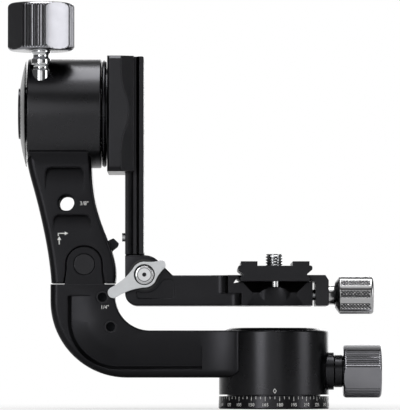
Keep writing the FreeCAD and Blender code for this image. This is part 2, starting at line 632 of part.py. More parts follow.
def make_latch():
    """A sprung thumb lever on a pin in the arm's right edge, and the coil that pushes its foot out."""
    s = sizes
    outline = [(-93.0, 70.0, 1), (-93.0, 88.0, 2), (-90.6, 92.6, 0.5), (-88.1, 93.6, 0.7),
               (-85.1, 90.8, 1.0), (-85.8, 88.9, 0.6), (-88.7, 86.6, 1.5), (-88.7, 70.0, 1)]
    spring_z = 73.5
    holes = [rod(s.latch_pin_radius + 0.05, (-s.latch_x, -4, s.latch_z), BACK, 8),
             rod(1.3, (-93.5, 0, spring_z), RIGHT, 2.4)]
    lever = slab(outline, -2.9, 2.9).cut(holes)
    keep(shaped("FoldLatch", lever), "fold_latch")
    pin = rod(s.latch_pin_radius, (-s.latch_x, -8.0, s.latch_z), BACK, s.arm_half + 7.7)
    keep(shaped("LatchPin", pin), "latch_pin")
    keep(shaped("LatchSpring", spring(0.9, 0.18, 3.0, 4, (-94.7, 0, spring_z), RIGHT)), "latch_spring")


# ---- tilt lock -------------------------------------------------------------------------------------


def make_tilt_lock():
    s = sizes
    at = ("-tilt_lock_x", "-tilt_lock_y", "0")
    stem = turned("TiltLockScrew", [
        ("0", "148"), ("tilt_screw_radius", "148"), ("tilt_screw_radius", "stem_foot"),
        ("stem_radius", "stem_foot"), ("stem_radius", "185.2"), ("bead_radius", "185.8"),
        ("bead_radius", "187.0"), ("stem_radius", "187.8"), ("stem_radius", "191.3"),
        ("bead_radius", "191.9"), ("bead_radius", "193.5"), ("stem_radius", "194.4"),
        ("stem_radius", "tilt_knob_foot"), ("lock_screw_radius", "tilt_knob_foot"),
        ("lock_screw_radius", "tilt_knob_foot + 10"), ("0", "tilt_knob_foot + 10")], at)
    keep(stem, "tilt_lock_screw")
    keep(lock_knob("TiltKnob", s.tilt_knob_radius, s.tilt_knob_top - s.tilt_knob_foot, 2.6, -56.0, None,
                   (s.lock_screw_radius, 10.0), (-s.tilt_lock_x, -s.tilt_lock_y, s.tilt_knob_foot), UP),
         "tilt_knob")
    halves = (("TiltCotterUpper", "tilt_cotter_upper", 163.6, s.stem_foot - 0.1, 0.0),
              ("TiltCotterLower", "tilt_cotter_lower", 149.0, 161.0, s.brake_slack))
    for title, label, foot, top, slack in halves:
        drum = rod(s.axle_radius + 0.05, (-s.housing_left, 0, s.tilt_z - slack), RIGHT, 20)
        sleeve = rod(s.cotter_radius, (-s.tilt_lock_x, -s.tilt_lock_y, foot), UP, top - foot)
        bore = rod(s.tilt_screw_radius + 0.05, (-s.tilt_lock_x, -s.tilt_lock_y, foot), UP, top - foot)
        keep(shaped(title, sleeve.cut([bore, drum])), label)


# ---- cradle: axle, end cap, rail clamp -------------------------------------------------------------


def make_axle():
    s = sizes
    at = ("0", "0", "tilt_z")
    axle = turned("TiltAxle", [
        ("0", "-axle_left"), ("axle_radius", "-axle_left"), ("axle_radius", "-flange_left"),
        ("axle_flange_radius - 0.8", "-flange_left"), ("axle_flange_radius", "-flange_left + 0.8"),
        ("axle_flange_radius", "-flange_right - 0.8"), ("axle_flange_radius - 0.8", "-flange_right"),
        ("25", "-flange_right"), ("25", "-clamp_seat"), ("0", "-clamp_seat")], at, RIGHT)
    holes = [bar("AxleBoltHole", "4", "20.6", ("-axle_left", "0", "tilt_z"), RIGHT)]
    holes += [bar("AxleTap%d" % k, "2.5", "8.1", ("-clamp_seat", str(y), str(s.tilt_z + z)), LEFT)
              for k, (y, z) in enumerate(clamp_screw_spots())]
    keep(cut("TiltAxleCut", axle, holes), "tilt_axle")
    outside = -s.disc_face - 1
    cap = Part.makeSphere(s.cap_round, Vector(-s.disc_face - 0.1 + s.cap_round, 0, s.tilt_z))
    cap = cap.common(rod(s.cap_rim_radius, (outside, 0, s.tilt_z), RIGHT, -outside - s.cap_rim))
    cap = cap.fuse(rod(15.0, (-s.cap_rim - 0.5, 0, s.tilt_z), RIGHT, s.cap_rim - s.axle_left + 0.5))
    cap = cap.cut([rod(s.disc_radius, (outside, 0, s.tilt_z), RIGHT, 2.3),
                   rod(6.6, (outside, 0, s.tilt_z), RIGHT, 4.7),
                   rod(4.0, (outside, 0, s.tilt_z), RIGHT, 10)])
    keep(shaped("EndCap", cap), "end_cap")
    keep(bar("CapDisc", "disc_radius", "1.3", ("-disc_face", "0", "tilt_z"), RIGHT), "cap_disc")
    profile = [("0", "0"), ("6.5", "0"), ("6.5", "2.3"), ("4", "2.3"), ("4", "21"), ("0", "21")]
    bolt = turned("AxleBolt", profile, ("-138.9", "0", "tilt_z"), RIGHT)
    socket = hex_socket("AxleSocket", 3.2, 1.6, (-138.9, 0, s.tilt_z), RIGHT)
    keep(cut("AxleBoltCut", bolt, [socket]), "axle_bolt")


def clamp_screw_spots():
    return [(y, z) for y in (-9.0, 9.0) for z in (-9.0, 9.0)]


def clamp_outline(side, inner, outer):
    """Half of the rail clamp in plan; side is -1 at the front and 1 at the rear, inner its open flank."""
    s = sizes
    half = [(-s.clamp_seat, inner), (-s.clamp_seat, outer - 1), (-s.clamp_seat + 1, outer), (-84.0, outer),
            (-s.clamp_right, outer - 3.2), (-s.clamp_right, 16.3), (-79.8, 19.1), (-81.65, 19.1),
            (-81.65, inner)]
    return [(x, side * y) for x, y in half]


def raised_front():
    """The raised part of the clamp's front, whose right edge swells out at the height of the tilt axis."""
    s = sizes
    upper_half = [(28.0, -83.6), (20.0, -83.4), (12.8, -82.3), (6.2, -80.3)]
    swell = upper_half + [(0.0, -79.5)] + [(-rise, x) for rise, x in reversed(upper_half)]
    curve = Part.BSplineCurve()
    curve.interpolate([Vector(x, -s.clamp_front, s.tilt_z + rise) for rise, x in swell])
    left, right = -s.clamp_seat + 1, -83.6
    corners = [Vector(x, -s.clamp_front, z) for x, z in (
        (right, s.tilt_z - 28.0), (right, s.clamp_foot), (left, s.clamp_foot), (left, s.clamp_head),
        (right, s.clamp_head), (right, s.tilt_z + 28.0))]
    edges = [curve.toShape()] + [Part.LineSegment(a, b).toShape() for a, b in zip(corners, corners[1:])]
    return Part.Face(Part.Wire(edges)).extrude(BACK * 4.0)


def edge_chamfers(side, outer):
    """The slanting cuts along the clamp's top and foot edges."""
    s = sizes
    cuts = []
    for level, size, way in ((s.clamp_head, s.clamp_top_chamfer, -1),
                             (s.clamp_foot, s.clamp_foot_chamfer, 1)):
        spots = [(outer + 1, level - way), (outer + 1, level + way * (size + 1)),
                 (outer - size - 1, level - way)]
        corners = [Vector(-95, side * y, z) for y, z in spots]
        cuts.append(Part.Face(Part.makePolygon(corners + corners[:1])).extrude(RIGHT * 25))
    return cuts


def make_rail_clamp():
    s = sizes
    outline = clamp_outline(-1, -s.clamp_split, s.clamp_front - s.clamp_raise)
    front = slab(outline, s.clamp_foot, s.clamp_head, "plan")
    front = front.fuse(raised_front()).cut(edge_chamfers(-1, s.clamp_front))
    holes = []
    for y, z in clamp_screw_spots():
        holes.append(rod(2.5, (-s.clamp_seat - 1, y, s.tilt_z + z), RIGHT, 12))
        holes.append(rod(4.4, (-86.9, y, s.tilt_z + z), RIGHT, 8))
    axis = -s.clamp_axis_x
    holes.append(rod(s.m6_radius + 0.05, (axis, -8.0, s.tilt_z), BACK, 30))
    for z in (-20.0, 20.0):
        holes.append(rod(1.5, (axis, -2.0, s.tilt_z + z), BACK, 30))
        holes.append(rod(3.0, (axis, 8.6, s.tilt_z + z), BACK, 20))
    keep(shaped("ClampBody", front.cut(holes).removeSplitter()), "clamp_body")

    jaw = slab(clamp_outline(1, s.clamp_split + 0.3, s.jaw_back), s.clamp_foot, s.clamp_head, "plan")
    jaw = jaw.cut(edge_chamfers(1, s.jaw_back))
    bores = [rod(s.m6_radius + 0.05, (axis, 10, s.tilt_z), BACK, 30)]
    for z in (-20.0, 20.0):
        bores.append(rod(1.55, (axis, 10, s.tilt_z + z), BACK, 14.5))
    keep(shaped("ClampJaw", jaw.cut(bores)), "clamp_jaw")

    pins = [rod(1.5, (axis, -2.0, s.tilt_z + z), BACK, 25.0) for z in (-20.0, 20.0)]
    keep(shaped("ClampGuidePins", Part.makeCompound(pins)), "clamp_guide_pins")
    coils = [spring(2.3, 0.3, 7.2, 5, (axis, 9.0, s.tilt_z + z), BACK) for z in (-20.0, 20.0)]
    keep(shaped("ClampSprings", Part.makeCompound(coils)), "clamp_springs")
    screws = []
    for y, z in clamp_screw_spots():
        head = rod(4.2, (-86.9, y, s.tilt_z + z), RIGHT, 4.8)
        shank = rod(2.5, (-99.0, y, s.tilt_z + z), RIGHT, 12.1)
        screws.append(head.fuse(shank).cut(hexagon(2.3, (-83.9, y, s.tilt_z + z), RIGHT, 2.0)))
    keep(shaped("ClampMountScrews", Part.makeCompound(screws)), "clamp_mount_screws")

    neck = (5.2, 2.4)
    keep(lock_knob("ClampKnob", s.clamp_knob_radius, 18.0, 1.5, 20.0, neck, (s.m6_radius, 8.0),
                   (axis, s.jaw_back + 2.6, s.tilt_z), BACK), "clamp_knob")
    screw = rod(s.m6_radius, (axis, -4.0, s.tilt_z), BACK, s.jaw_back + 14.6)
    keep(shaped("ClampScrew", screw), "clamp_screw")


# ---- rail and platform -----------------------------------------------------------------------------


def make_rail():
    s = sizes
    half, neck = s.rail_half, s.rail_neck_half
    section = [(-s.rail_left, half), (-79.85, half), (-77.15, neck), (-75.4, neck), (-73.8, half),
               (-s.rail_right, half)]
    outline = section + [(x, -y) for x, y in reversed(section)]
    body = slab(outline, s.rail_foot, s.rail_head, "plan")
    crest = Vector(-s.rail_right, 0, s.rail_head)
    body = rounded_edges(body, 0.9, lambda e: (e.CenterOfMass - crest).Length < 0.02)
    disc = rod(s.tongue_radius, (-s.hinge_x, -s.tongue_y, s.hinge_z), BACK, 2 * s.tongue_y)
    web = Part.makeBox(s.rail_left - s.rail_right, 2 * s.tongue_y, s.rail_foot - s.hinge_z + 1,
                       Vector(-s.rail_left + 0.3, -s.tongue_y, s.hinge_z))
    shape = body.fuse([disc, web]).cut([rod(s.bolt_radius + 0.05, (-s.hinge_x, -12, s.hinge_z), BACK, 24),
                                        rod(1.6, (-82, 0, s.stop_z), RIGHT, 6.5)])
    keep(shaped("Rail", shape.removeSplitter()), "rail")
    stop = rod(s.stop_radius, (-s.rail_left - 1.9, 0, s.stop_z), RIGHT, 1.9)
    stop = stop.fuse(rod(1.6, (-s.rail_left, 0, s.stop_z), RIGHT, 5.5))
    stop = stop.cut(hexagon(1.4, (-s.rail_left - 1.9, 0, s.stop_z), RIGHT, 1.2))
    keep(shaped("RailStopScrew", stop), "rail_stop_screw")


def bar_outline():
    """Ears, bar and clamp head in front view."""
    s = sizes
    slope = s.ear_round * math.tan(math.radians(22.5))
    crest_x = -s.hinge_x + slope
    foot_x = crest_x + (s.ear_top - s.bar_top)
    return [(-s.rail_left, s.bar_foot, s.bar_corner), (-s.rail_left, s.ear_top, 0.5),
            (crest_x, s.ear_top, s.ear_round - 0.05), (foot_x, s.bar_top, 1.5), (s.bar_end, s.bar_top),
            (s.bar_end, s.bar_foot, 0.6)]


def head_outline(left):
    """The clamp head in plan, widening from the bar in hollow sweeps at the front and rear."""
    s = sizes
    half, sweep = s.head_half, s.head_half - s.bar_half - 0.1
    return [(left - 9.0, -s.bar_half), (left, -s.bar_half, sweep), (left, -half), (s.bar_end, -half, 1.0),
            (s.bar_end, half, 1.0), (left, half), (left, s.bar_half, sweep), (left - 9.0, s.bar_half)]


def plate_channel():
    """The dovetail channel that the plate slides in, open on the jaw's side."""
    s = sizes
    c = s.plate_centre
    wide, neck = s.dovetail_half + s.channel_gap, s.notch_half + s.channel_gap
    outline = [(c - wide, s.channel_floor), (c - wide, 71.5), (c - neck, 73.2), (c - neck, s.bar_top + 1),
               (s.bar_end + 1, s.bar_top + 1), (s.bar_end + 1, s.channel_floor)]
    relief = [(c - wide + 0.1, 69.3), (-22.4, 68.6), (-20.8, 71.2), (c - wide + 0.1, 69.9)]
    return slab(outline, -40, 40).fuse(slab(relief, -40, 40))


def make_platform():
    s = sizes
    shape = slab(bar_outline(), -s.bar_half, s.bar_half)
    shape = rounded_edges(shape, s.bar_edge, lambda e: abs(abs(e.CenterOfMass.y) - s.bar_half) < 0.01)
    shape = shape.fuse([slab(head_outline(-s.head_foot_start), s.bar_foot, s.head_step, "plan"),
                        slab(head_outline(-s.head_start), s.head_step, s.bar_top, "plan")])
    clevis = rod(s.clevis_radius, (-s.hinge_x, -s.clevis_half, s.hinge_z), BACK, 2 * s.clevis_half)
    wide, outside = 2 * s.clevis_half, -s.rail_left - 1.9
    mouth = Part.makeBox(s.clevis_radius + 2, wide, 20, Vector(outside, -s.clevis_half, s.hinge_z))
    swing = Part.makeBox(12.0, wide, 20, Vector(-s.hinge_x - 1, -s.clevis_half, s.hinge_z))
    gate = Part.makeBox(12.0, wide, 30, Vector(outside, -s.clevis_half, 60.0))
    tools = [clevis, mouth, swing, gate, plate_channel()]
    tools.append(rod(s.bolt_radius + 0.05, (-s.hinge_x, -30, s.hinge_z), BACK, 60))
    tools.append(hexagon(8.6, (-s.hinge_x, s.bar_half - 3.5, s.hinge_z), BACK, 5))
    tools.append(rod(s.m6_radius + 0.05, (1.0, 0, s.screw_z), RIGHT, 22))
    for y in (-16.0, 16.0):
        tools.append(rod(1.5, (6.0, y, s.screw_z), RIGHT, 18))
        tools.append(rod(3.0, (11.5, y, s.screw_z), RIGHT, 12))
    for side in (-1, 1):
        tools += front_hollows(side) + [face_pocket(side)]
    keep(shaped("PlatformBar", shape.cut(tools).removeSplitter()), "platform_bar")

    nut = hexagon(8.55, (-s.hinge_x, s.bar_half - 3.4, s.hinge_z), BACK, 3.4)
    nut = nut.cut(rod(s.bolt_radius + 0.05, (-s.hinge_x, 10, s.hinge_z), BACK, 10))
    keep(shaped("HingeNut", nut), "hinge_nut")
    pins = [rod(1.5, (6.0, y, s.screw_z), RIGHT, 21.5) for y in (-16.0, 16.0)]
    keep(shaped("QrGuidePins", Part.makeCompound(pins)), "qr_guide_pins")
    coils = [spring(2.3, 0.3, 8.6, 5, (11.9, y, s.screw_z), RIGHT) for y in (-16.0, 16.0)]
    keep(shaped("QrSprings", Part.makeCompound(coils)), "qr_springs")


def front_hollows(side):
    """The clamp head's scooped front: a shallow hollow, wider up and down, and a deep groove in it."""
    s = sizes
    waist, away = 23.4, side * (s.head_half + 20.0)
    low, high = s.bar_foot - 1, s.bar_top + 1
    middle = s.plate_centre + 0.1
    foot = Part.makeCone(waist + (61.5 - low) * 0.41, waist, 61.5 - low, Vector(middle, away, low))
    top = Part.makeCone(waist, waist + (high - 63.5) * 0.55, high - 63.5, Vector(middle, away, 63.5))
    groove = rod(11.8, (middle, side * (s.head_half + 6.6), low), UP, high - low)
    return [foot, rod(waist, (middle, away, 61.4), UP, 2.2), top, groove]


def face_pocket(side):
    """The shallow recess that runs round the hinge boss in the bar's face."""
    s = sizes
    outline = [(-75.4, 60.2, 2.4), (-75.4, 65.0, 1.0), (-66.0, 65.0, 4.0), (-60.4, 70.9, 1.5),
               (-54.6, 70.9, 2.5), (-54.6, 60.2, 2.0)]
    low, high = (-s.bar_half - 1, -s.bar_half + 1.2) if side < 0 else (s.bar_half - 1.2, s.bar_half + 1)
    boss = rod(9.8, (-s.hinge_x, -30, s.hinge_z), BACK, 60)
    return slab(outline, low, high).cut(boss)


def make_lever():
    s = sizes
    back, face = -s.lever_back, -s.lever_face
    thick = s.lever_face - s.lever_back
    slant = math.radians(30)
    shape = rod(s.lever_hub, (0, face, 0), BACK, thick)
    wings = ((s.lever_long, s.lever_tip, math.pi + slant, (4.0, 5.8), (11.6, 3.5)),
             (s.lever_short, s.lever_short_tip, slant, (3.4, 6.1), (7.2, 3.8)))
    for reach, tip, turn, root, hollow in wings:
        away = Vector(math.cos(turn), 0, math.sin(turn))
        across = Vector(-away.z, 0, away.x)
        flank = (root, hollow, (reach, tip))
        ends = [[away * u + across * (sign * v) + Vector(0, face, 0) for u, v in flank]
                for sign in (1, -1)]
        edges = [Part.Arc(*ends[0]).toShape(), Part.LineSegment(ends[0][2], ends[1][2]).toShape(),
                 Part.Arc(*ends[1]).toShape(), Part.LineSegment(ends[1][0], ends[0][0]).toShape()]
        wing = Part.Face(Part.Wire(Part.sortEdges(edges)[0])).extrude(BACK * thick)
        end = away * reach
        shape = shape.fuse([wing, rod(tip, (end.x, face, end.z), BACK, thick)])
    shape = shape.cut([rod(s.bolt_head_radius + 0.8, (0, face - 1, 0), BACK, 3.2),
                       rod(s.bolt_radius, (0, -30, 0), BACK, 20)])
    shape.translate(Vector(-s.hinge_x, 0, s.hinge_z))
    keep(shaped("WingLever", shape.removeSplitter()), "wing_lever")
    bolt = turned("HingeBolt", [
        ("0", "0"), ("bolt_head_radius - 0.8", "0"), ("bolt_head_radius", "0.6"),
        ("bolt_head_radius", "2.2"), ("bolt_radius", "2.2"), ("bolt_radius", "42.8"), ("0", "42.8")],
        ("-hinge_x", "-lever_face", "hinge_z"), BACK)
    socket = hex_socket("BoltSocket", 1.9, 1.5, (-s.hinge_x, face, s.hinge_z), BACK)
    keep(cut("HingeBoltCut", bolt, [socket]), "hinge_bolt")
    keep(ring("HingeWasher", "bolt_radius", "8.5", "0", "0.8",
              ("-hinge_x", "-bar_half - 0.95", "hinge_z"), BACK), "hinge_washer")


def make_quick_release():
    s = sizes
    c = s.plate_centre
    wide, neck = s.dovetail_half + s.channel_gap, s.notch_half + s.channel_gap
    outline = [(s.jaw_start, s.bar_foot, 0.6), (s.jaw_start, 69.4),
               (s.bar_end - 0.4, s.channel_floor + 0.2), (c + wide, 71.5), (c + neck, 73.2),
               (c + neck + 0.3, s.bar_top + 0.1), (27.8, s.bar_top + 0.1), (s.jaw_end, 70.2, 1.0),
               (s.jaw_end, s.bar_foot, 0.6)]
    jaw = slab(outline, -s.jaw_half, s.jaw_half)
    holes = [rod(s.m6_radius + 0.05, (20, 0, s.screw_z), RIGHT, 12)]
    holes += [rod(1.55, (20, y, s.screw_z), RIGHT, 12) for y in (-16.0, 16.0)]
    keep(shaped("QrJaw", jaw.cut(holes)), "qr_jaw")
    keep(shaped("QrScrew", rod(s.m6_radius, (3.0, 0, s.screw_z), RIGHT, 38.5)), "qr_screw")
    knob = turned("QrKnob", [
        ("m6_radius", "-3.7"), ("qr_neck_radius", "-3.7"), ("qr_neck_radius", "0"), ("7.2", "0"),
        ("qr_knob_radius - 0.5", "2.4"), ("qr_knob_radius", "3.2"), ("qr_knob_radius", "20.2"),
        ("qr_knob_radius - 1", "21.2"), ("0", "21.2"), ("0", "8"), ("m6_radius", "8")],
        ("qr_knob_start", "0", "screw_z"), RIGHT)
    keep(knob, "qr_knob")


def make_plate():
    s = sizes
    c, half = s.plate_centre, s.dovetail_half
    side = [(half, s.plate_foot), (half, 71.4), (s.notch_half, 73.1), (s.notch_half, 73.3),
            (s.wing_half, 75.8, 0.9), (s.wing_half, 78.0, 1.1), (s.lip_outer, 78.0),
            (s.lip_outer, s.lip_top), (s.lip_inner, s.lip_top), (s.lip_inner, s.plate_top)]
    right = [(c + p[0],) + tuple(p[1:]) for p in side]
    left = [(c - p[0],) + tuple(p[1:]) for p in reversed(side)]
    plate = slab(right + left, -s.plate_half_length, s.plate_half_length)
    tools = [rod(s.camera_screw_radius + 0.08, (c, 0, 70), UP, 12), rod(8.2, (c, 0, 69), UP, 6.1)]
    for y in (-32.5, 32.5):
        tools.append(rod(1.25, (c, y, 69), UP, 6.0))
    keep(shaped("QrPlate", plate.cut(tools)), "qr_plate")
    stops = []
    for y in (-32.5, 32.5):
        head = rod(2.0, (c, y, s.stop_head_foot), UP, s.plate_foot - s.stop_head_foot)
        shank = rod(1.25, (c, y, s.plate_foot - 0.1), UP, 5.0)
        stops.append(head.fuse(shank).cut(hexagon(1.1, (c, y, s.stop_head_foot), UP, 1.4)))
    keep(shaped("PlateStopScrews", Part.makeCompound(stops)), "plate_stop_screws")
    screw = turned("CameraScrew", [
        ("0", "71.6"), ("8.1", "71.6"), ("8.1", "75"), ("camera_relief", "75"),
        ("camera_relief", "plate_top + 0.2"), ("camera_screw_radius", "plate_top + 0.2"),
        ("camera_screw_radius", "camera_screw_top - 0.5"),
        ("camera_screw_radius - 0.5", "camera_screw_top"), ("0", "camera_screw_top")],
        ("plate_centre", "0", "0"))
    slot = block("CameraSlot", "18", "1.6", "1.4", ("plate_centre - 9", "-0.8", "71.5"))
    keep(cut("CameraScrewCut", screw, [slot]), "camera_screw")


# ---- checks and export -----------------------------------------------------------------------------


def check():
    """Stop on a failed object or a bad shape."""
    bad = [o.Name for o in doc.Objects if "Invalid" in o.State or "Error" in o.State]
    bad += [n.Label for n in nodes if n.Shape.isNull() or not n.Shape.isValid() or not n.Shape.Solids]
    if bad:
        raise SystemExit("failed: " + ", ".join(bad))


def export():
    os.makedirs("parts", exist_ok=True)
    for piece in nodes:
        piece.Shape.exportStep("parts/%s.step" % piece.Label)
        print("%-22s solids %d  volume %9.1f" % (piece.Label, len(piece.Shape.Solids), piece.Shape.Volume))


fill_sheet()
make_base()
make_lower_arm()
make_pan_lock()
make_upper_arm()
make_latch()
make_tilt_lock()
make_axle()
make_rail_clamp()
make_rail()
make_platform()
make_lever()
make_quick_release()
make_plate()
doc.recompute()
check()
export()
print("nodes", len(nodes))
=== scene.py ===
import bmesh
import bpy
import json
import math
from mathutils import Matrix, Vector


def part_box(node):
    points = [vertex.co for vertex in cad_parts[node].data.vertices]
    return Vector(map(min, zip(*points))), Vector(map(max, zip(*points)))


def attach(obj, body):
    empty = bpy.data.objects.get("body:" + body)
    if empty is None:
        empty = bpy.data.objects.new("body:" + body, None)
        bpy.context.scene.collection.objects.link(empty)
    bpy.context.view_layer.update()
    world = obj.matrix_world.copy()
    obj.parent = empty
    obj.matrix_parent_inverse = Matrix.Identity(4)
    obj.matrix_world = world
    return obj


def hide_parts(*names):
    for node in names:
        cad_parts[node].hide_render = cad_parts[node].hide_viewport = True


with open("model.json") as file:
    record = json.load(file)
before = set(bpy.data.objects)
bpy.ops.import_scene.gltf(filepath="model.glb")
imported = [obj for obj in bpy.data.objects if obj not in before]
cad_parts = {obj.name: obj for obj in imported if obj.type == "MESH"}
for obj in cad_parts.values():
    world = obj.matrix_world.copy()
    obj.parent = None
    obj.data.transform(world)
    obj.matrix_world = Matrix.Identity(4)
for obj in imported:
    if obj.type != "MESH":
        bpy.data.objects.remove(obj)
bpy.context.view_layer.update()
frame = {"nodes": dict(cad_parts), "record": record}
nodes = frame["nodes"]
record = frame["record"]

MM = 0.001
INCH = 0.0254
RIGHT, FRONT, UP = Vector((1, 0, 0)), Vector((0, -1, 0)), Vector((0, 0, 1))
BACK = -FRONT


# ---- places read from the frame --------------------------------------------------------------------


def span(node, axis):
    """The lowest and highest coordinate of a CAD node along x, y or z (0, 1, 2)."""
    low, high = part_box(node)
    return low[axis], high[axis]


def middle(node):
    low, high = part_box(node)
    return (low + high) / 2


HUB_RADIUS = span("pan_hub", 0)[1]
DIAL_RADIUS = span("dial_plate", 0)[1]
ARM_FACE = span("accessory_inserts", 1)[0]      # y of both arms' front faces
TILT_AXIS = middle("tilt_housing")
HINGE = middle("hinge_bolt")
ARM_HOLE = (-113.7 * MM, 112.6 * MM)      # x and z of the 3/8 inch hole, then of the two 1/4 inch ones
ELBOW_HOLES = {"upper": (-93.9 * MM, 61.0 * MM), "lower": (-89.4 * MM, 44.9 * MM)}


# ---- mesh tools ------------------------------------------------------------------------------------


def smoothed(piece, angle=32):
    """Smooth faces, with a crease at each turn sharper than the angle."""
    mesh = piece.data
    mesh.polygons.foreach_set("use_smooth", [True] * len(mesh.polygons))
    mesh.set_sharp_from_angle(angle=math.radians(angle))
    return piece


def from_bmesh(name, bm):
    bmesh.ops.recalc_face_normals(bm, faces=bm.faces)
    mesh = bpy.data.meshes.new(name)
    bm.to_mesh(mesh)
    bm.free()
    piece = bpy.data.objects.new(name, mesh)
    bpy.context.scene.collection.objects.link(piece)
    return piece


def lathe_axes(axis):
    """The two directions across an axis that a turned piece's angles are measured by."""
    side = BACK.cross(axis) if abs(axis.y) < 0.5 else RIGHT
    return side, axis.cross(side)


def turned_place(point, start, axis):
    """A point as angle, height and distance from the axis of a turned piece."""
    side, across = lathe_axes(axis)
    out = point - start
    x, y = out.dot(side), out.dot(across)
    return math.atan2(y, x), out.dot(axis), math.hypot(x, y)


def lathe(name, start, axis, rows, segments=96, radius_at=None, hollow=False):
    """A turned piece: rows of (height, radius) along the axis; radius_at may cut into them."""
    side, across = lathe_axes(axis)
    bm = bmesh.new()
    rings = []
    for height, radius in rows:
        if radius < 1e-6:
            rings.append([bm.verts.new(start + axis * height)])
            continue
        ring = []
        for i in range(segments):
            angle = 2 * math.pi * i / segments
            out = side * math.cos(angle) + across * math.sin(angle)
            r = radius_at(angle, height, radius) if radius_at else radius
            ring.append(bm.verts.new(start + axis * height + out * r))
        rings.append(ring)
    pairs = list(zip(rings, rings[1:])) + ([(rings[-1], rings[0])] if hollow else [])
    for lower, upper in pairs:
        for i in range(segments):
            j = (i + 1) % segments
            corners = [lower[i % len(lower)], lower[j % len(lower)],
                       upper[j % len(upper)], upper[i % len(upper)]]
            bm.faces.new(list(dict.fromkeys(corners)))
    for ring in (rings[0], rings[-1]):
        if len(ring) > 1 and not hollow:
            bm.faces.new(ring)
    return smoothed(from_bmesh(name, bm))


def rounded_rows(length, radius, rounding, corner_steps=8, straight_steps=40):
    """Rows of a round body whose two ends are rounded alike."""
    turns = [math.pi / 2 * i / corner_steps for i in range(corner_steps + 1)]
    corner = [(rounding * (1 - math.sin(t)), radius - rounding * (1 - math.cos(t))) for t in turns]
    step = (length - 2 * rounding) / straight_steps
    straight = [(rounding + step * i, radius) for i in range(1, straight_steps)]
    return corner[::-1] + straight + [(length - height, r) for height, r in corner]


def plate(name, loops, depth, to_space, rounding):
    """A flat piece of one outline with holes, pushed back by depth, with its face edges rounded."""
    bm = bmesh.new()
    edges = []
    for loop in loops:
        corners = [bm.verts.new(to_space(x, z, 0)) for x, z in loop]
        edges += [bm.edges.new(pair) for pair in zip(corners, corners[1:] + corners[:1])]
    filled = bmesh.ops.triangle_fill(bm, use_beauty=True, use_dissolve=False, edges=edges)
    faces = [f for f in filled["geom"] if isinstance(f, bmesh.types.BMFace)]
    pushed = bmesh.ops.extrude_face_region(bm, geom=faces)
    shift = to_space(0, 0, depth) - to_space(0, 0, 0)
    bmesh.ops.translate(bm, vec=shift, verts=[v for v in pushed["geom"] if isinstance(v, bmesh.types.BMVert)])
    piece = from_bmesh(name, bm)
    bevel = piece.modifiers.new("Rounding", "BEVEL")
    bevel.width, bevel.segments, bevel.limit_method = rounding, 3, "ANGLE"
    bevel.angle_limit = math.radians(60)
    return piece


def arc(centre, radius, first, last, steps):
    """Points along an arc, angles in degrees."""
    out = []
    for i in range(steps + 1):
        turn = math.radians(first + (last - first) * i / steps)
        out.append((centre[0] + radius * math.cos(turn), centre[1] + radius * math.sin(turn)))
    return out


def sweep(points):
    """Points on the arc through three points."""
    (ax, ay), (bx, by), (cx, cy) = points
    a, b, c = ax ** 2 + ay ** 2, bx ** 2 + by ** 2, cx ** 2 + cy ** 2
    d = 2 * (ax * (by - cy) + bx * (cy - ay) + cx * (ay - by))
    ux = (a * (by - cy) + b * (cy - ay) + c * (ay - by)) / d
    uy = (a * (cx - bx) + b * (ax - cx) + c * (bx - ax)) / d
    first = math.atan2(ay - uy, ax - ux)
    turn = math.remainder(math.atan2(cy - uy, cx - ux) - first, 2 * math.pi)
    return arc((ux, uy), math.hypot(ax - ux, ay - uy), math.degrees(first), math.degrees(first + turn), 8)


# ---- materials -------------------------------------------------------------------------------------


def to_linear(code):
    """An sRGB hex colour as the linear values that shaders take."""
    out = []
    for i in (1, 3, 5):
        c = int(code[i:i + 2], 16) / 255
        out.append(c / 12.92 if c <= 0.04045 else ((c + 0.055) / 1.055) ** 2.4)
    return (*out, 1.0)


def add(tree, kind, inputs=None, **settings):
    """A shader node with its settings; an input is a value or another node's output."""
    node = tree.nodes.new("ShaderNode" + kind)
    for key, value in settings.items():
        setattr(node, key, value)
    for socket, value in (inputs or {}).items():
        if isinstance(value, bpy.types.NodeSocket):
            tree.links.new(value, node.inputs[socket])
        else:
            node.inputs[socket].default_value = value
    return node


def finish_of(name, metallic):
    """A new material of bare metal (1) or of anything else (0)."""
    made = bpy.data.materials.new(name)
    made.use_nodes = True
    shader = made.node_tree.nodes["Principled BSDF"]
    shader.inputs["Metallic"].default_value = metallic
    return made, made.node_tree, shader


def uneven(tree, shader, dark, light, patch, roughness, spread, mottle):
    """A colour that drifts between two over patches of one size, and a shine that drifts over another."""
    place = add(tree, "TexCoord").outputs["Object"]
    drift = add(tree, "TexNoise", {"Vector": place, "Scale": 1 / patch, "Detail": 3.0}).outputs["Fac"]
    colours = {0: drift, 6: to_linear(dark), 7: to_linear(light)}
    tree.links.new(add(tree, "Mix", colours, data_type="RGBA").outputs[2], shader.inputs["Base Color"])
    cloud = add(tree, "TexNoise", {"Vector": place, "Scale": 1 / mottle, "Detail": 3.0}).outputs["Fac"]
    dull = {0: cloud, 1: 0.25, 2: 0.75, 3: roughness - spread, 4: roughness + spread}
    tree.links.new(add(tree, "MapRange", dull).outputs[0], shader.inputs["Roughness"])


def grain(tree, size, stretch=(1, 1, 1)):
    """The height of a fine grain of a real size, drawn out along an axis where stretch is small."""
    place = add(tree, "TexCoord").outputs["Object"]
    place = add(tree, "Mapping", {"Vector": place, "Scale": stretch}).outputs[0]
    return add(tree, "TexNoise", {"Vector": place, "Scale": 1 / size, "Detail": 2.0}).outputs["Fac"]


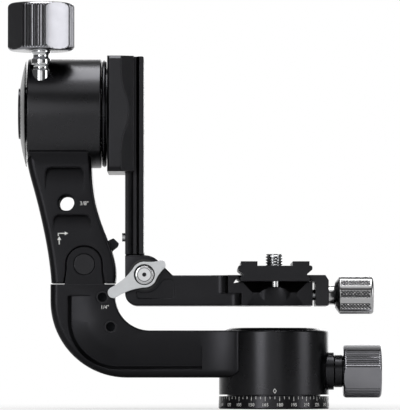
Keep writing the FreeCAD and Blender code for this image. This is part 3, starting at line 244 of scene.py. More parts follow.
def tool_rings(tree, centre, axis, feed):
    """The height of the spiral that a lathe tool leaves: a wave along the axis and outwards from it."""
    place = add(tree, "TexCoord").outputs["Object"]
    out = add(tree, "VectorMath", {0: place, 1: centre}, operation="SUBTRACT").outputs[0]
    along = add(tree, "VectorMath", {0: out, 1: axis}, operation="DOT_PRODUCT").outputs["Value"]
    across = Vector((1, 1, 1)) - Vector([abs(a) for a in axis])
    flat = add(tree, "VectorMath", {0: out, 1: across}, operation="MULTIPLY").outputs[0]
    away = add(tree, "VectorMath", {0: flat}, operation="LENGTH").outputs["Value"]
    both = add(tree, "Math", {0: along, 1: away}, operation="ADD").outputs[0]
    phase = add(tree, "Math", {0: both, 1: 2 * math.pi / feed}, operation="MULTIPLY").outputs[0]
    return add(tree, "Math", {0: phase}, operation="SINE").outputs[0]


def relief(tree, shader, height, depth, broken_edge=0.0):
    """Fine relief of a real depth; edges that a file has broken catch a line of light."""
    inputs = {"Height": height, "Distance": depth, "Strength": 1.0}
    if broken_edge:
        inputs["Normal"] = add(tree, "Bevel", {"Radius": broken_edge}, samples=6).outputs[0]
    tree.links.new(add(tree, "Bump", inputs).outputs[0], shader.inputs["Normal"])


def black_anodised(name, dark, light, roughness=0.34):
    """Aluminium, bead-blasted and dyed black under a clear oxide: a silky sheen with a very fine grain."""
    made, tree, shader = finish_of(name, 1.0)
    uneven(tree, shader, dark, light, 24 * MM, roughness, 0.02, 9 * MM)
    # beads leave pits of about 0.1 mm and edges are broken by 0.4 mm; drawn coarser so that they show
    relief(tree, shader, grain(tree, 0.25 * MM), 0.003 * MM, 0.8 * MM)
    return made


def turned_black(name, centre, axis, dark="#2f2f31", light="#343436", roughness=0.28):
    """Aluminium turned on a lathe, then dyed black: faint rings run round it and stretch its highlights."""
    made, tree, shader = finish_of(name, 1.0)
    uneven(tree, shader, dark, light, 30 * MM, roughness, 0.012, 5 * MM)
    # a finishing cut feeds 0.1 mm a turn; drawn coarser so that it shows
    relief(tree, shader, tool_rings(tree, centre, axis, 0.45 * MM), 0.0012 * MM, 0.35 * MM)
    return made


def extruded_black(name):
    """Aluminium drawn through a die and dyed black: hair-fine lines run along its length."""
    made, tree, shader = finish_of(name, 1.0)
    uneven(tree, shader, "#2b2b2d", "#353537", 20 * MM, 0.33, 0.04, 2 * MM)
    relief(tree, shader, grain(tree, 0.5 * MM, (1, 1, 0.02)), 0.002 * MM, 0.35 * MM)
    return made


def titanium_anodised(name):
    """Aluminium polished before a thin titanium-grey oxide: deep, sharp gradients like dark chrome."""
    made, tree, shader = finish_of(name, 1.0)
    uneven(tree, shader, "#85858a", "#8f8f93", 8 * MM, 0.19, 0.03, 3 * MM)
    relief(tree, shader, grain(tree, 0.2 * MM), 0.0006 * MM)
    return made


def mirror_steel(name):
    """Stainless steel buffed to a mirror, with the odd hair scratch from the wheel."""
    made, tree, shader = finish_of(name, 1.0)
    uneven(tree, shader, "#d2d3d5", "#dcdddf", 10 * MM, 0.09, 0.03, 1 * MM)
    relief(tree, shader, grain(tree, 0.4 * MM, (1, 1, 0.1)), 0.0004 * MM)
    return made


def satin_silver(name):
    """Cast aluminium, tumbled with ceramic chips: an even silver satin with soft bright edges."""
    made, tree, shader = finish_of(name, 1.0)
    uneven(tree, shader, "#c1c3c5", "#cdcfd1", 6 * MM, 0.36, 0.04, 2 * MM)
    relief(tree, shader, grain(tree, 0.3 * MM), 0.002 * MM)
    return made


def nickel_plate(name):
    """Nickel over cut knurling: small sharp sparkles on each diamond; the cuts between are painted dark as
    shade by the knob.
    """
    made, tree, shader = finish_of(name, 1.0)
    uneven(tree, shader, "#b2b2b3", "#bfbfc0", 5 * MM, 0.2, 0.04, 1 * MM)
    relief(tree, shader, grain(tree, 0.2 * MM), 0.001 * MM)
    return made


def machined_steel(name, dark="#a9abad", light="#bcbec0", roughness=0.3):
    """Stainless bar stock off the machine: fine tool marks that dull the shine a little."""
    made, tree, shader = finish_of(name, 1.0)
    uneven(tree, shader, dark, light, 6 * MM, roughness, 0.02, 1 * MM)
    relief(tree, shader, grain(tree, 0.25 * MM), 0.0015 * MM)
    return made


def sintered_bronze(name):
    """Pressed bronze bush: warm, open-grained and slightly oily."""
    made, tree, shader = finish_of(name, 1.0)
    uneven(tree, shader, "#a57c46", "#bd9257", 2 * MM, 0.42, 0.08, 0.5 * MM)
    relief(tree, shader, grain(tree, 0.3 * MM), 0.006 * MM)
    return made


def black_oxide_steel(name, dark, light):
    """Steel blackened in a hot bath: nearly black, slightly mottled, with a low oily shine."""
    made, tree, shader = finish_of(name, 1.0)
    uneven(tree, shader, dark, light, 1.5 * MM, 0.4, 0.06, 1 * MM)
    relief(tree, shader, grain(tree, 0.25 * MM), 0.003 * MM, 0.2 * MM)
    return made


def black_nylon(name):
    """Moulded nylon: a dull black with a faint orange-peel skin."""
    made, tree, shader = finish_of(name, 0.0)
    uneven(tree, shader, "#121212", "#1a1a1a", 3 * MM, 0.55, 0.05, 1 * MM)
    relief(tree, shader, grain(tree, 0.6 * MM), 0.01 * MM)
    return made


def white_ink(name):
    """Screen-printed ink: an opaque off-white, a little thin where the mesh left it."""
    made, tree, shader = finish_of(name, 0.0)
    uneven(tree, shader, "#cfcfcd", "#e8e8e6", 0.3 * MM, 0.6, 0.05, 0.5 * MM)
    relief(tree, shader, grain(tree, 0.15 * MM), 0.004 * MM)
    return made


FINISHES = {
    "black_aluminium": black_anodised("bead_blasted_black_aluminium", "#242426", "#28282a"),
    "hub_aluminium": turned_black("turned_hub_aluminium", Vector((0, 0, 0)), UP),
    "housing_aluminium": turned_black("turned_housing_aluminium", TILT_AXIS, RIGHT, "#373739", "#3c3c3e"),
    "dial_aluminium": turned_black("turned_dial_aluminium", Vector((0, 0, 0)), UP),
    "cap_aluminium": turned_black("turned_cap_aluminium", Vector((0, 0, 0)), UP, roughness=0.26),
    "collar_aluminium": turned_black("turned_collar_aluminium", middle("pan_lock_collar"), RIGHT),
    "axle_aluminium": turned_black("turned_axle_aluminium", TILT_AXIS, RIGHT),
    "clamp_aluminium": black_anodised("milled_black_clamp_aluminium", "#2f2f31", "#373739", 0.32),
    "rail_aluminium": extruded_black("extruded_black_aluminium"),
    "platform_aluminium": black_anodised("milled_black_platform_aluminium", "#262628", "#2e2e30", 0.32),
    "plate_aluminium": black_anodised("bead_blasted_plate_aluminium", "#2a2a2c", "#313133", 0.38),
    "knob_aluminium": titanium_anodised("polished_titanium_anodised_aluminium"),
    "silver_lever": satin_silver("tumbled_silver_aluminium"),
    "steel": machined_steel("turned_stainless_steel"),
    "screw_steel": machined_steel("stainless_screw_steel", "#b4b5b7", "#c8c9ca", 0.22),
    "polished_steel": mirror_steel("mirror_polished_steel"),
    "knurled_steel": nickel_plate("knurled_nickel_plate"),
    "spring_steel": machined_steel("drawn_spring_steel", "#8d8f92", "#a2a4a7", 0.35),
    "latch_steel": black_oxide_steel("hot_blackened_steel", "#2b2b2d", "#333335"),
    "bronze": sintered_bronze("sintered_bronze"),
    "washer_nylon": black_nylon("moulded_black_nylon"),
}
INK = white_ink("screen_printed_white_ink")
# painted shade: a dark blackened-steel colour for faces deep in grooves, knurl cuts and the bolt's ring and
# socket, standing in for the shade there
CUT_SHADE = black_oxide_steel("painted_cut_shade", "#333335", "#3e3e40")
# painted shade: a near-black for the thread sleeves, standing in for the shade inside the arms' holes
BORE_SHADE = black_oxide_steel("painted_bore_shade", "#121315", "#1b1c1e")


def place_piece(piece, body, slot, *replaced, material=None):
    """Gives a new piece its finish and hands it to its body, in place of CAD nodes if any."""
    piece.data.materials.clear()
    piece.data.materials.append(material or FINISHES[slot])
    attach(piece, body)
    if replaced:
        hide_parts(*replaced)
    return piece


def finish_cuts(piece, start, axis, is_cut):
    """Painted shade: a darker material on the faces of a turned piece that lie in its cuts, where shade
    falls.
    """
    piece.data.materials.append(CUT_SHADE)
    for face in piece.data.polygons:
        if is_cut(*turned_place(face.center, start, axis)):
            face.material_index = 1


# ---- carried-over CAD nodes ------------------------------------------------------------------------


def dress_nodes():
    """The finish of each CAD node, smooth round its curves and creased at its edges."""
    slots = {part["node"]: part["material_slot"] for part in record["subparts"]}
    for name, node in nodes.items():
        node.data.materials.clear()
        node.data.materials.append(FINISHES[slots[name]])
        node.data.polygons.foreach_set("use_smooth", [True] * len(node.data.polygons))
        weld = node.modifiers.new("Weld", "WELD")
        weld.merge_threshold = 0.005 * MM
        split = node.modifiers.new("Creases", "EDGE_SPLIT")
        split.split_angle = math.radians(26)


# ---- lock knobs ------------------------------------------------------------------------------------


LOCK_KNOBS = [
    # name, CAD node, axis; radius, end rounding, neck radius and neck length in mm; a flat's angle
    ("tilt_lock_knob", "tilt_knob", UP, 18.2, 2.6, 0, 0, -56),
    ("pan_lock_knob", "pan_knob", RIGHT, 14.7, 2.0, 8.9, 4.95, 16),
    ("rail_clamp_knob", "clamp_knob", BACK, 9.6, 1.5, 5.2, 2.4, 20),
]
FLAT_SHARE = 0.9135      # a flat's distance from the axis, as a share of the knob's radius
FLAT_HALF = math.acos(FLAT_SHARE)
FLAT_CROWN = 0.3 * MM
GROOVE_STEP = math.radians(4.93)
GROOVES = 9
GROOVE_SHARE = 0.025     # a groove's depth, as a share of the knob's radius
GROOVE_SHADE_FROM = 0.68      # how deep in its groove a face lies before it gets painted shade


def make_lock_knob(name, node, axis, radius, rounding, neck_radius, neck, flat_angle):
    """A grip with flats, ground grooves, rounded ends and a shallow dish in its top, on its own neck."""
    radius, rounding, neck_radius, neck = (size * MM for size in (radius, rounding, neck_radius, neck))
    low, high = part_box(node)
    length = (high - low).dot(axis) - neck
    foot = (low + high) / 2 + axis * (neck - (high - low).dot(axis) / 2)
    first_flat, end_gap = math.radians(flat_angle), rounding * 0.8

    def in_groove(angle, height):
        """How deep a place lies in its groove, from 1 in the middle to 0 or less outside."""
        from_band = math.remainder(angle - first_flat - math.pi / 4, math.pi / 2)
        groove = round(from_band / GROOVE_STEP)
        if abs(groove) > GROOVES // 2:
            return 0.0
        across = (from_band - groove * GROOVE_STEP) / (GROOVE_STEP / 2)
        past_end = min(0.0, height - end_gap, length - end_gap - height) / (0.5 * GROOVE_STEP * radius)
        return 1 - across ** 2 - past_end ** 2

    def radius_at(angle, height, row_radius):
        """Four slightly crowned flats, and a band of grooves between each two."""
        if row_radius < radius - rounding - 1e-6:
            return row_radius
        turn = math.remainder(angle - first_flat, math.pi / 2)
        if abs(turn) < FLAT_HALF + 0.004:
            crown = FLAT_CROWN * (1 - (math.tan(turn) / math.tan(FLAT_HALF)) ** 2)
            return min((radius * FLAT_SHARE + crown) / math.cos(turn), row_radius)
        return row_radius - GROOVE_SHARE * radius * max(0.0, in_groove(angle, height))

    if neck:
        bevel = 0.4 * MM
        waist = neck_radius - bevel
        rows = [(-neck, 0), (-neck, waist), (bevel - neck, neck_radius), (-0.7 * MM, neck_radius),
                (-bevel, waist), (0, waist), (0, 0)]
        place_piece(lathe(name + "_neck", foot, axis, rows), node, "collar_aluminium")
    dish_floor = length - 0.35 * MM
    rows = [(0, 0)] + rounded_rows(length, radius, rounding)
    rows += [(length, 0.55 * radius), (dish_floor, 0.52 * radius), (dish_floor, 0)]
    knob = lathe(name, foot, axis, rows, 576, radius_at)
    place_piece(knob, node, "knob_aluminium", node)
    # painted shade: the faces deep in the grooves get the dark cut material
    finish_cuts(knob, foot, axis, lambda angle, height, away:
                away > 0.95 * radius and in_groove(angle, height) > GROOVE_SHADE_FROM)


def make_tilt_stem():
    """The tilt lock's polished stem: two round-bottomed grooves with raised lips, and the screw below."""
    low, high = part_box("tilt_lock_screw")
    knob_foot = span("tilt_knob", 2)[0]
    stem, screw, stem_foot, tenon, bevel = 5.3 * MM, 3.0 * MM, 175.6 * MM, 4.0 * MM, 0.3 * MM
    groove_rim, groove_depth = 0.25 * MM, 0.75 * MM
    rows = [(low.z, 0), (low.z, screw - 0.4 * MM), (low.z + 0.4 * MM, screw), (stem_foot, screw),
            (stem_foot, stem - bevel), (stem_foot + bevel, stem)]
    for foot, top in ((185.2 * MM, 187.8 * MM), (191.3 * MM, 194.4 * MM)):
        half = (top - foot) / 2
        rows += [(foot - 0.5 * MM, stem), (foot - 0.15 * MM, stem - 0.1 * MM)]
        for i in range(13):
            turn = math.pi * i / 12
            sunk = groove_rim + groove_depth * math.sin(turn) ** 0.8
            rows.append((foot + half - half * math.cos(turn), stem - sunk))
        rows += [(top + 0.15 * MM, stem - 0.1 * MM), (top + 0.5 * MM, stem)]
    rows += [(knob_foot, stem), (knob_foot, tenon), (high.z, tenon), (high.z, 0)]
    at = middle("tilt_lock_screw")
    piece = lathe("tilt_lock_stem", Vector((at.x, at.y, 0)), UP, rows)
    place_piece(piece, "tilt_knob", "polished_steel", "tilt_lock_screw")


# ---- quick-release knob ----------------------------------------------------------------------------


def make_qr_knob():
    """A round knob with nine windows of diamond knurling between smooth lands."""
    low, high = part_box("qr_knob")
    at = (low + high) / 2
    radius, neck = (high.z - low.z) / 2, 3.7 * MM
    length = high.x - low.x - neck
    start = Vector((low.x + neck, at.y, at.z))
    first_window, window_step, window_half = math.radians(-12), math.radians(40), math.radians(11)
    window_foot, window_top, window_slope = 2.9 * MM, length - 2.0 * MM, 0.25 * MM
    pitch, depth, slant = 1.95 * MM, 0.6 * MM, 1.1
    shade_from = 0.6 * depth

    def radius_at(angle, height, row_radius):
        if row_radius < radius - 0.01 * MM or not window_foot < height < window_top:
            return row_radius
        around = math.remainder(angle - first_window, window_step) * radius
        inside = min(window_half * radius - abs(around), height - window_foot, window_top - height)
        if inside <= 0:
            return row_radius
        ridges = [abs(math.remainder((around + way * height) / pitch, 1.0)) * 2 for way in (slant, -slant)]
        return row_radius - depth * min(1.0, inside / window_slope) * (1 - min(ridges))

    steps = 96
    profile = [(-3.7, 0), (-3.7, 4.8), (-3.3, 5.2), (-0.6, 5.2), (0, 5.6), (0, 6.8), (0.3, 7.3)]
    rows = [(height * MM, r * MM) for height, r in profile]
    rows += [(2.0 * MM, radius - 0.75 * MM), (2.5 * MM, radius - 0.15 * MM), (2.8 * MM, radius)]
    rows += [(window_foot + (window_top - window_foot) * i / steps, radius) for i in range(steps + 1)]
    rows += [(length - up * MM, radius - inward * MM)
             for up, inward in ((1.2, 0), (0.5, 0.25), (0.15, 0.7), (0, 1.2))]
    dish, dish_floor = 5.5 * MM, length - 0.5 * MM
    rows += [(length, dish), (dish_floor, dish - 0.5 * MM), (dish_floor, 0)]
    knob = smoothed(lathe("qr_clamp_knob", start, RIGHT, rows, 432, radius_at), 40)
    place_piece(knob, "qr_knob", "knurled_steel", "qr_knob")
    # painted shade: the faces deep in the knurl cuts get the dark cut material
    finish_cuts(knob, start, RIGHT, lambda angle, height, away:
                window_foot < height < window_top and away < radius - shade_from)


# ---- wing lever and its bolt -----------------------------------------------------------------------


def make_lever():
    """The wing lever: hollow flanks sweep from a round hub to two round tips, one long and one short."""
    low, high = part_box("wing_lever")
    hub, well, bore = 7.05 * MM, 5.7 * MM, 5.02 * MM
    thick, sunk = high.y - low.y, 2.2 * MM
    slant = 30

    def wing(reach, tip, root, hollow, direction):
        """One wing's outline, from sizes in millimetres along x, turned to its direction."""
        marks = [(x * MM, z * MM) for x, z in (root, hollow, (reach, tip))]
        points = sweep([(x, -z) for x, z in marks]) + arc((reach * MM, 0), tip * MM, -90, 90, 12)[1:-1]
        points += sweep(marks[::-1])
        cos, sin = math.cos(math.radians(direction)), math.sin(math.radians(direction))
        return [(x * cos - z * sin, x * sin + z * cos) for x, z in points]

    def hub_edge(first, last):
        return arc((0, 0), hub, slant + first, slant + last, 10)[1:-1]

    def to_space(x, z, depth):
        return Vector((HINGE.x + x, low.y + depth, HINGE.z + z))

    outline = wing(10.4, 2.65, (3.4, 6.1), (7.2, 3.8), slant) + hub_edge(61, 124)
    outline += wing(19.6, 3.0, (4.0, 5.8), (11.6, 3.5), slant + 180) + hub_edge(236, 299)
    well_edge = arc((0, 0), well, 0, 360, 64)[:-1]
    body = plate("wing_lever_body", [outline, well_edge], thick, to_space, 0.8 * MM)
    place_piece(smoothed(body, 60), "lever", "silver_lever", "wing_lever")
    outside, seat_end = well + 0.1 * MM, thick - 1.0 * MM
    rows = [(sunk, bore), (sunk, outside), (seat_end, outside), (seat_end, bore)]
    seat = lathe("wing_lever_bolt_seat", Vector((HINGE.x, low.y, HINGE.z)), BACK, rows, 64, hollow=True)
    place_piece(seat, "lever", "washer_nylon")


def make_hinge_bolt():
    """The bolt in the lever: a spun head with a rounded rim, a fine ring cut in it and a hexagon socket."""
    low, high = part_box("hinge_bolt")
    start = Vector((HINGE.x, low.y, HINGE.z))
    length, socket, ring, socket_angle = high.y - low.y, 1.0 * MM, 3.85 * MM, math.radians(12)
    profile = [(2.0, 0), (2.0, 1.0), (0.15, 1.0), (0, 1.15), (0, 3.5), (0.3, 3.55), (0.3, 3.8), (0, 3.85),
               (0.02, 4.5), (0.16, 4.75), (0.42, 4.9), (2.2, 4.9), (2.2, 3.0)]
    rows = [(height * MM, r * MM) for height, r in profile] + [(length, 3.0 * MM), (length, 0)]

    def radius_at(angle, height, row_radius):
        if row_radius > socket + 0.01 * MM:
            return row_radius
        return row_radius / math.cos(math.remainder(angle - socket_angle, math.pi / 3))

    bolt = lathe("wing_lever_bolt", start, BACK, rows, radius_at=radius_at)
    place_piece(bolt, "lever", "polished_steel", "hinge_bolt")
    # painted shade: the ring cut and the hexagon socket get the dark cut material
    finish_cuts(bolt, start, BACK, lambda angle, height, away:
                0.02 * MM < height < 2.1 * MM and away < ring + 0.05 * MM)


# ---- threads in the arms' holes --------------------------------------------------------------------


def hole_thread(name, place, body, root, cut, per_inch, length, blind):
    """A threaded sleeve from just under the front face; a blind one ends in a drill point."""
    start, outside, pitch = 0.4 * MM, root + 0.5 * MM, INCH / per_inch

    def radius_at(angle, height, row_radius):
        if abs(row_radius - root) > 1e-9:
            return row_radius
        return root - cut * abs(math.remainder(height / pitch - angle / (2 * math.pi), 1.0)) * 2

    steps = math.ceil(length / pitch * 6)
    rows = [(start + (length - start) * i / steps, root) for i in range(steps + 1)]
    if blind:
        floor, end = length + 0.3 * MM, length + 0.5 * MM
        rows = [(floor, 0)] + rows[::-1] + [(start, outside), (end, outside), (end, 0)]
    else:
        rows += [(length, outside), (start, outside)]
    x, z = place
    sleeve = lathe(name, Vector((x, ARM_FACE, z)), BACK, rows, 72, radius_at, hollow=not blind)
    # painted shade: the sleeve takes a near-black that stands in for the shade in the hole
    place_piece(sleeve, body, "latch_steel", material=BORE_SHADE)


def make_hole_threads():
    """A 3/8 inch thread right through the upper arm and two 1/4 inch ones in the elbow."""
    through = -2 * ARM_FACE - 0.4 * MM
    hole_thread("arm_hole_thread", ARM_HOLE, "upper_arm", 4.85 * MM, 0.6 * MM, 16, through, False)
    for level, place in ELBOW_HOLES.items():
        name = "elbow_hole_thread_" + level
        hole_thread(name, place, "lower_arm", 2.9 * MM, 0.5 * MM, 20, 7.0 * MM, True)


# ---- camera screw ----------------------------------------------------------------------------------


def make_camera_screw():
    """The camera screw: a 3/8 inch thread of 16 turns to the inch over a plain round head."""
    foot, end = span("camera_screw", 2)
    outer, pitch, cut = 4.76 * MM, INCH / 16, 0.9 * MM
    head, bevel, head_top, neck = 8.1 * MM, 0.4 * MM, 75.0 * MM, 4.1 * MM
    thread_foot, runout = 76.0 * MM, 0.4 * MM

    def radius_at(angle, height, row_radius):
        if height < thread_foot or row_radius < neck:
            return row_radius
        wave = abs(math.remainder(height / pitch - angle / (2 * math.pi), 1.0)) * 2
        depth = cut * min(1.0, max(0.0, 1.15 * wave - 0.08))
        fade = min(1.0, (end - height) / runout)
        return min(row_radius, outer - depth * fade) - 0.45 * MM * (1 - fade)

    rows = [(foot, 0), (foot, head - bevel), (foot + bevel, head), (head_top, head), (head_top, neck),
            (thread_foot, neck + 0.01 * MM)]
    steps = 72
    rows += [(thread_foot + (end - thread_foot) * i / steps, outer) for i in range(1, steps + 1)]
    rows += [(end, 0)]
    at = middle("camera_screw")
    screw = lathe("camera_screw_thread", Vector((at.x, at.y, 0)), UP, rows, radius_at=radius_at)
    place_piece(smoothed(screw, 50), "camera_screw", "screw_steel", "camera_screw")


# ---- printed marks ---------------------------------------------------------------------------------


INK_THICKNESS = 0.03 * MM


def joined_mesh(name, parts):
    """One printed piece from many outlines."""
    bm = bmesh.new()
    for mesh in parts:
        bm.from_mesh(mesh)
        bpy.data.meshes.remove(mesh)
    return from_bmesh(name, bm)


def letters(words, height):
    """Words as a thin solid mesh, centred, in x (reading direction), y (up) and z (towards the reader)."""
    curve = bpy.data.curves.new("words", "FONT")
    curve.body = words
    curve.size = height / 0.7      # capitals of the built-in face are 0.7 of its size
    curve.align_x, curve.align_y = "CENTER", "CENTER"
    curve.extrude = INK_THICKNESS / 2
    curve.resolution_u = 3
    holder = bpy.data.objects.new("words", curve)
    bpy.context.scene.collection.objects.link(holder)
    bpy.context.view_layer.update()
    mesh = bpy.data.meshes.new_from_object(holder)
    bpy.data.objects.remove(holder)
    bpy.data.curves.remove(curve)
    return mesh


def bar_mesh(x, z, width, height):
    """A thin printed bar in the same axes as the letters."""
    bm = bmesh.new()
    bmesh.ops.create_cube(bm, size=1.0, matrix=Matrix.Diagonal((width, height, INK_THICKNESS, 1)))
    bmesh.ops.translate(bm, vec=(x, z, 0), verts=bm.verts)
    mesh = bpy.data.meshes.new("bar")
    bm.to_mesh(mesh)
    bm.free()
    return mesh


def wrap(mesh, azimuth, radius_at, height):
    """Bends a flat print round the pan axis; azimuth is measured to the right of the front."""
    for v in mesh.vertices:
        z = height + v.co.y
        r = radius_at(z) + v.co.z
        turn = azimuth + v.co.x / radius_at(z)
        v.co = (r * math.sin(turn), -r * math.cos(turn), z)
    return mesh


def dial_wall(z):
    """The dial ring's radius at a height; it narrows a little upwards."""
    foot, height, narrowing = 0.6 * MM, 6.3 * MM, 0.3 * MM
    return DIAL_RADIUS - narrowing * (z - foot) / height


def make_dial_scale():
    """A full circle in 5 degree ticks, longer and numbered every 15."""
    dial_top = 6.9 * MM
    long_tick, short_tick, stroke = 2.5 * MM, 1.4 * MM, 0.24 * MM
    number_height, number_middle = 1.75 * MM, 2.35 * MM
    reading_at_front = 174.9
    parts = []
    for degrees in range(0, 360, 5):
        numbered = degrees % 15 == 0
        length = long_tick if numbered else short_tick
        azimuth = math.radians(degrees - reading_at_front)
        parts.append(wrap(bar_mesh(0, -length / 2, stroke, length), azimuth, dial_wall, dial_top))
        if numbered:
            parts.append(wrap(letters(str(degrees), number_height), azimuth, dial_wall, number_middle))
    place_piece(joined_mesh("dial_scale_print", parts), "base", "dial_aluminium", material=INK)


def make_dial_index():
    """A hollow diamond on the hub that reads the dial."""
    half_width, half_height, stroke = 1.0 * MM, 1.45 * MM, 0.32 * MM
    centre = 9.9 * MM
    bm = bmesh.new()
    rings = []
    for share in (1.0, 1.0 - stroke / half_width):
        for depth in (INK_THICKNESS / 2, -INK_THICKNESS / 2):
            corners = [(half_width, 0), (0, half_height), (-half_width, 0), (0, -half_height)]
            rings.append([bm.verts.new((x * share, z * share, depth)) for x, z in corners])
    outer_face, outer_back, inner_face, inner_back = rings
    around = [outer_face, inner_face, inner_back, outer_back, outer_face]
    for first, second in zip(around, around[1:]):
        for i in range(4):
            j = (i + 1) % 4
            bm.faces.new([first[i], first[j], second[j], second[i]])
    mesh = bpy.data.meshes.new("diamond")
    bm.to_mesh(mesh)
    bm.free()
    wrap(mesh, 0.0, lambda z: HUB_RADIUS + INK_THICKNESS / 2, centre)
    place_piece(joined_mesh("dial_index_print", [mesh]), "lower_arm", "hub_aluminium", material=INK)


def on_front(mesh, x, z):
    """Lays a flat print on the arms' front faces."""
    for v in mesh.vertices:
        v.co = (x + v.co.x, ARM_FACE - v.co.z - INK_THICKNESS / 2 + 0.01 * MM, z + v.co.y)
    return mesh


def make_arm_prints():
    """Thread sizes beside the accessory holes, and two arrows for lifting and folding the arm."""
    arm_size = on_front(letters("3/8\"", 2.1 * MM), -103.9 * MM, 112.2 * MM)
    elbow_size = on_front(letters("1/4\"", 2.0 * MM), -92.6 * MM, 55.5 * MM)
    lift = on_front(arrow_mesh([(0, -2.1), (0, 0.4)], 0.55, 2.3, 1.9), -117.5 * MM, 91.9 * MM)
    fold_route = [(-2.6, -0.9), (-2.6, 0.5), (0.9, 0.5)]
    fold = on_front(arrow_mesh(fold_route, 0.5, 2.0, 1.9), -115.4 * MM, 95.4 * MM)
    for name, body, parts in (("arm_hole_size_print", "upper_arm", [arm_size]),
                              ("elbow_hole_size_print", "lower_arm", [elbow_size]),
                              ("fold_arrows_print", "upper_arm", [lift, fold])):
        place_piece(joined_mesh(name, parts), body, "black_aluminium", material=INK)


def arrow_mesh(route, shaft, head_width, head_length):
    """A printed arrow in millimetres: a shaft along straight runs, and a head past its last point."""
    bm = bmesh.new()
    points = [Vector((x, y, 0)) for x, y in route]
    for start, stop in zip(points, points[1:]):
        along = (stop - start).normalized()
        side = Vector((-along.y, along.x, 0)) * shaft / 2
        tail = along * (shaft / 2 if stop is not points[-1] else 0)
        extrude_flat(bm, [start - side, stop + tail - side, stop + tail + side, start + side])
    side = Vector((-along.y, along.x, 0)) * head_width / 2
    extrude_flat(bm, [points[-1] - side, points[-1] + along * head_length, points[-1] + side])
    bmesh.ops.scale(bm, vec=(MM, MM, MM), verts=bm.verts)
    mesh = bpy.data.meshes.new("arrow")
    bm.to_mesh(mesh)
    bm.free()
    return mesh


def extrude_flat(bm, corners):
    half = INK_THICKNESS / MM / 2
    low = [bm.verts.new(c - UP * half) for c in corners]
    high = [bm.verts.new(c + UP * half) for c in corners]
    bm.faces.new(low[::-1])
    bm.faces.new(high)
    for i in range(len(corners)):
        j = (i + 1) % len(corners)
        bm.faces.new([low[i], low[j], high[j], high[i]])


# ---- studio ----------------------------------------------------------------------------------------


VIEW_CENTRE = Vector((-40.6 * MM, 0, 112.0 * MM))


def make_camera():
    """A long lens, level with the quick-release clamp's foot, square to the arm."""
    distance, height, width_seen = 2.5, 27.0 * MM, 0.2255
    data = bpy.data.cameras.new("camera")
    data.sensor_width = 36.0
    data.lens = data.sensor_width * distance / width_seen
    data.clip_end = 20
    camera = bpy.data.objects.new("camera", data)
    bpy.context.scene.collection.objects.link(camera)
    camera.location = (VIEW_CENTRE.x, -distance, height)
    camera.rotation_euler = (VIEW_CENTRE - camera.location).to_track_quat("-Z", "Y").to_euler()
    bpy.context.scene.camera = camera


def softbox(name, place, width, height, brightness):
    """A rectangular lamp aimed at the object; brightness is that of its face, with white paper at 1."""
    data = bpy.data.lights.new(name, "AREA")
    data.shape = "RECTANGLE"
    data.size, data.size_y = width, height
    data.energy = brightness * math.pi * width * height
    lamp = bpy.data.objects.new(name, data)
    bpy.context.scene.collection.objects.link(lamp)
    lamp.location = place
    lamp.rotation_euler = (VIEW_CENTRE - Vector(place)).to_track_quat("-Z", "Y").to_euler()


def backdrop_share(tree, direct, behind):
    """How white a ray finds the backdrop: direct to the camera, behind for what metal and glass show."""
    rays = add(tree, "LightPath").outputs
    both = {0: rays["Is Glossy Ray"], 1: rays["Is Transmission Ray"]}
    glossy = add(tree, "Math", both, operation="MAXIMUM").outputs[0]
    seen = add(tree, "Math", {0: rays["Is Camera Ray"], 1: direct}, operation="MULTIPLY").outputs[0]
    shown = add(tree, "Math", {0: glossy, 1: behind}, operation="MULTIPLY").outputs[0]
    return add(tree, "Math", {0: seen, 1: shown}, operation="MAXIMUM").outputs[0]


def make_world():
    """A dim studio in front of the object and a white backdrop behind it."""
    world = bpy.data.worlds.new("studio")
    bpy.context.scene.world = world
    world.use_nodes = True
    tree = world.node_tree
    dim = tree.nodes["Background"]
    dim.inputs["Color"].default_value = to_linear("#ffffff")
    dim.inputs["Strength"].default_value = 0.08
    white = add(tree, "Background", {"Color": to_linear("#ffffff"), "Strength": 1.0})
    towards = add(tree, "SeparateXYZ", {0: add(tree, "TexCoord").outputs["Generated"]}).outputs["Y"]
    # towards is 0.7 at 46 degrees off straight behind and 0.97 at 14 degrees
    steep = {0: towards, 1: 0.7, 2: 0.97, 3: 0.0, 4: 1.0}
    behind = add(tree, "MapRange", steep, interpolation_type="SMOOTHSTEP").outputs[0]
    share = backdrop_share(tree, 1.0, behind)
    mix = add(tree, "MixShader", {0: share, 1: dim.outputs[0], 2: white.outputs[0]})
    tree.links.new(mix.outputs[0], tree.nodes["World Output"].inputs[0])


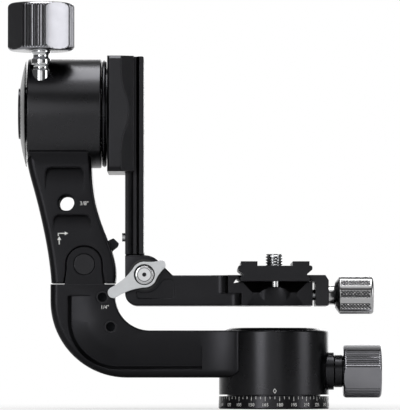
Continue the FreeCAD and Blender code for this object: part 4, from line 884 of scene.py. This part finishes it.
def make_floor():
    """A pale seamless sheet that keeps the object's shadow and runs out into the white backdrop."""
    bm = bmesh.new()
    bmesh.ops.create_circle(bm, cap_ends=True, radius=4.0, segments=96)
    bmesh.ops.translate(bm, vec=(0, 0, -0.05 * MM), verts=bm.verts)
    floor = from_bmesh("studio_floor", bm)
    made, tree, shader = finish_of("painted_pale_floor", 0.0)
    uneven(tree, shader, "#bebebe", "#c2c2c2", 300 * MM, 0.9, 0.03, 200 * MM)
    place = add(tree, "TexCoord").outputs["Object"]
    away = add(tree, "VectorMath", {0: place}, operation="LENGTH").outputs["Value"]
    back = add(tree, "SeparateXYZ", {0: place}).outputs["Y"]
    # whiter from 0.03 to 0.35 m off the object, and for reflections from 0.1 to 0.8 m behind it
    spread = {0: away, 1: 0.03, 2: 0.35, 3: 0.62, 4: 1.0}
    direct = add(tree, "MapRange", spread, interpolation_type="SMOOTHSTEP").outputs[0]
    rearward = {0: back, 1: 0.1, 2: 0.8, 3: 0.0, 4: 1.0}
    behind = add(tree, "MapRange", rearward, interpolation_type="SMOOTHSTEP").outputs[0]
    share = backdrop_share(tree, direct, behind)
    white = add(tree, "Emission", {"Color": to_linear("#ffffff"), "Strength": 1.0})
    mix = add(tree, "MixShader", {0: share, 1: shader.outputs[0], 2: white.outputs[0]})
    tree.links.new(mix.outputs[0], tree.nodes["Material Output"].inputs[0])
    floor.data.materials.append(made)


make_camera()
# name, place, width, height and brightness
softbox("left_softbox", (-0.82, -1.52, 0.3), 0.55, 1.5, 5.5)
softbox("right_softbox", (1.53, -0.7, 0.3), 0.65, 1.5, 3.3)
softbox("front_softbox", (-0.04, -2.9, 0.55), 1.6, 1.3, 0.85)
softbox("overhead_softbox", (-0.04, 0.1, 1.8), 1.2, 1.2, 7.8)
softbox("front_overhead_softbox", (-0.04, -0.8, 1.6), 1.3, 1.0, 1.0)
softbox("rear_softbox", (0.5, 2.4, 0.5), 1.4, 1.2, 1.6)
make_world()
make_floor()
dress_nodes()
for lock_knob in LOCK_KNOBS:
    make_lock_knob(*lock_knob)
make_tilt_stem()
make_qr_knob()
make_lever()
make_hinge_bolt()
make_hole_threads()
make_camera_screw()
make_dial_scale()
make_dial_index()
make_arm_prints()

bpy.context.scene.view_settings.view_transform = "Standard"
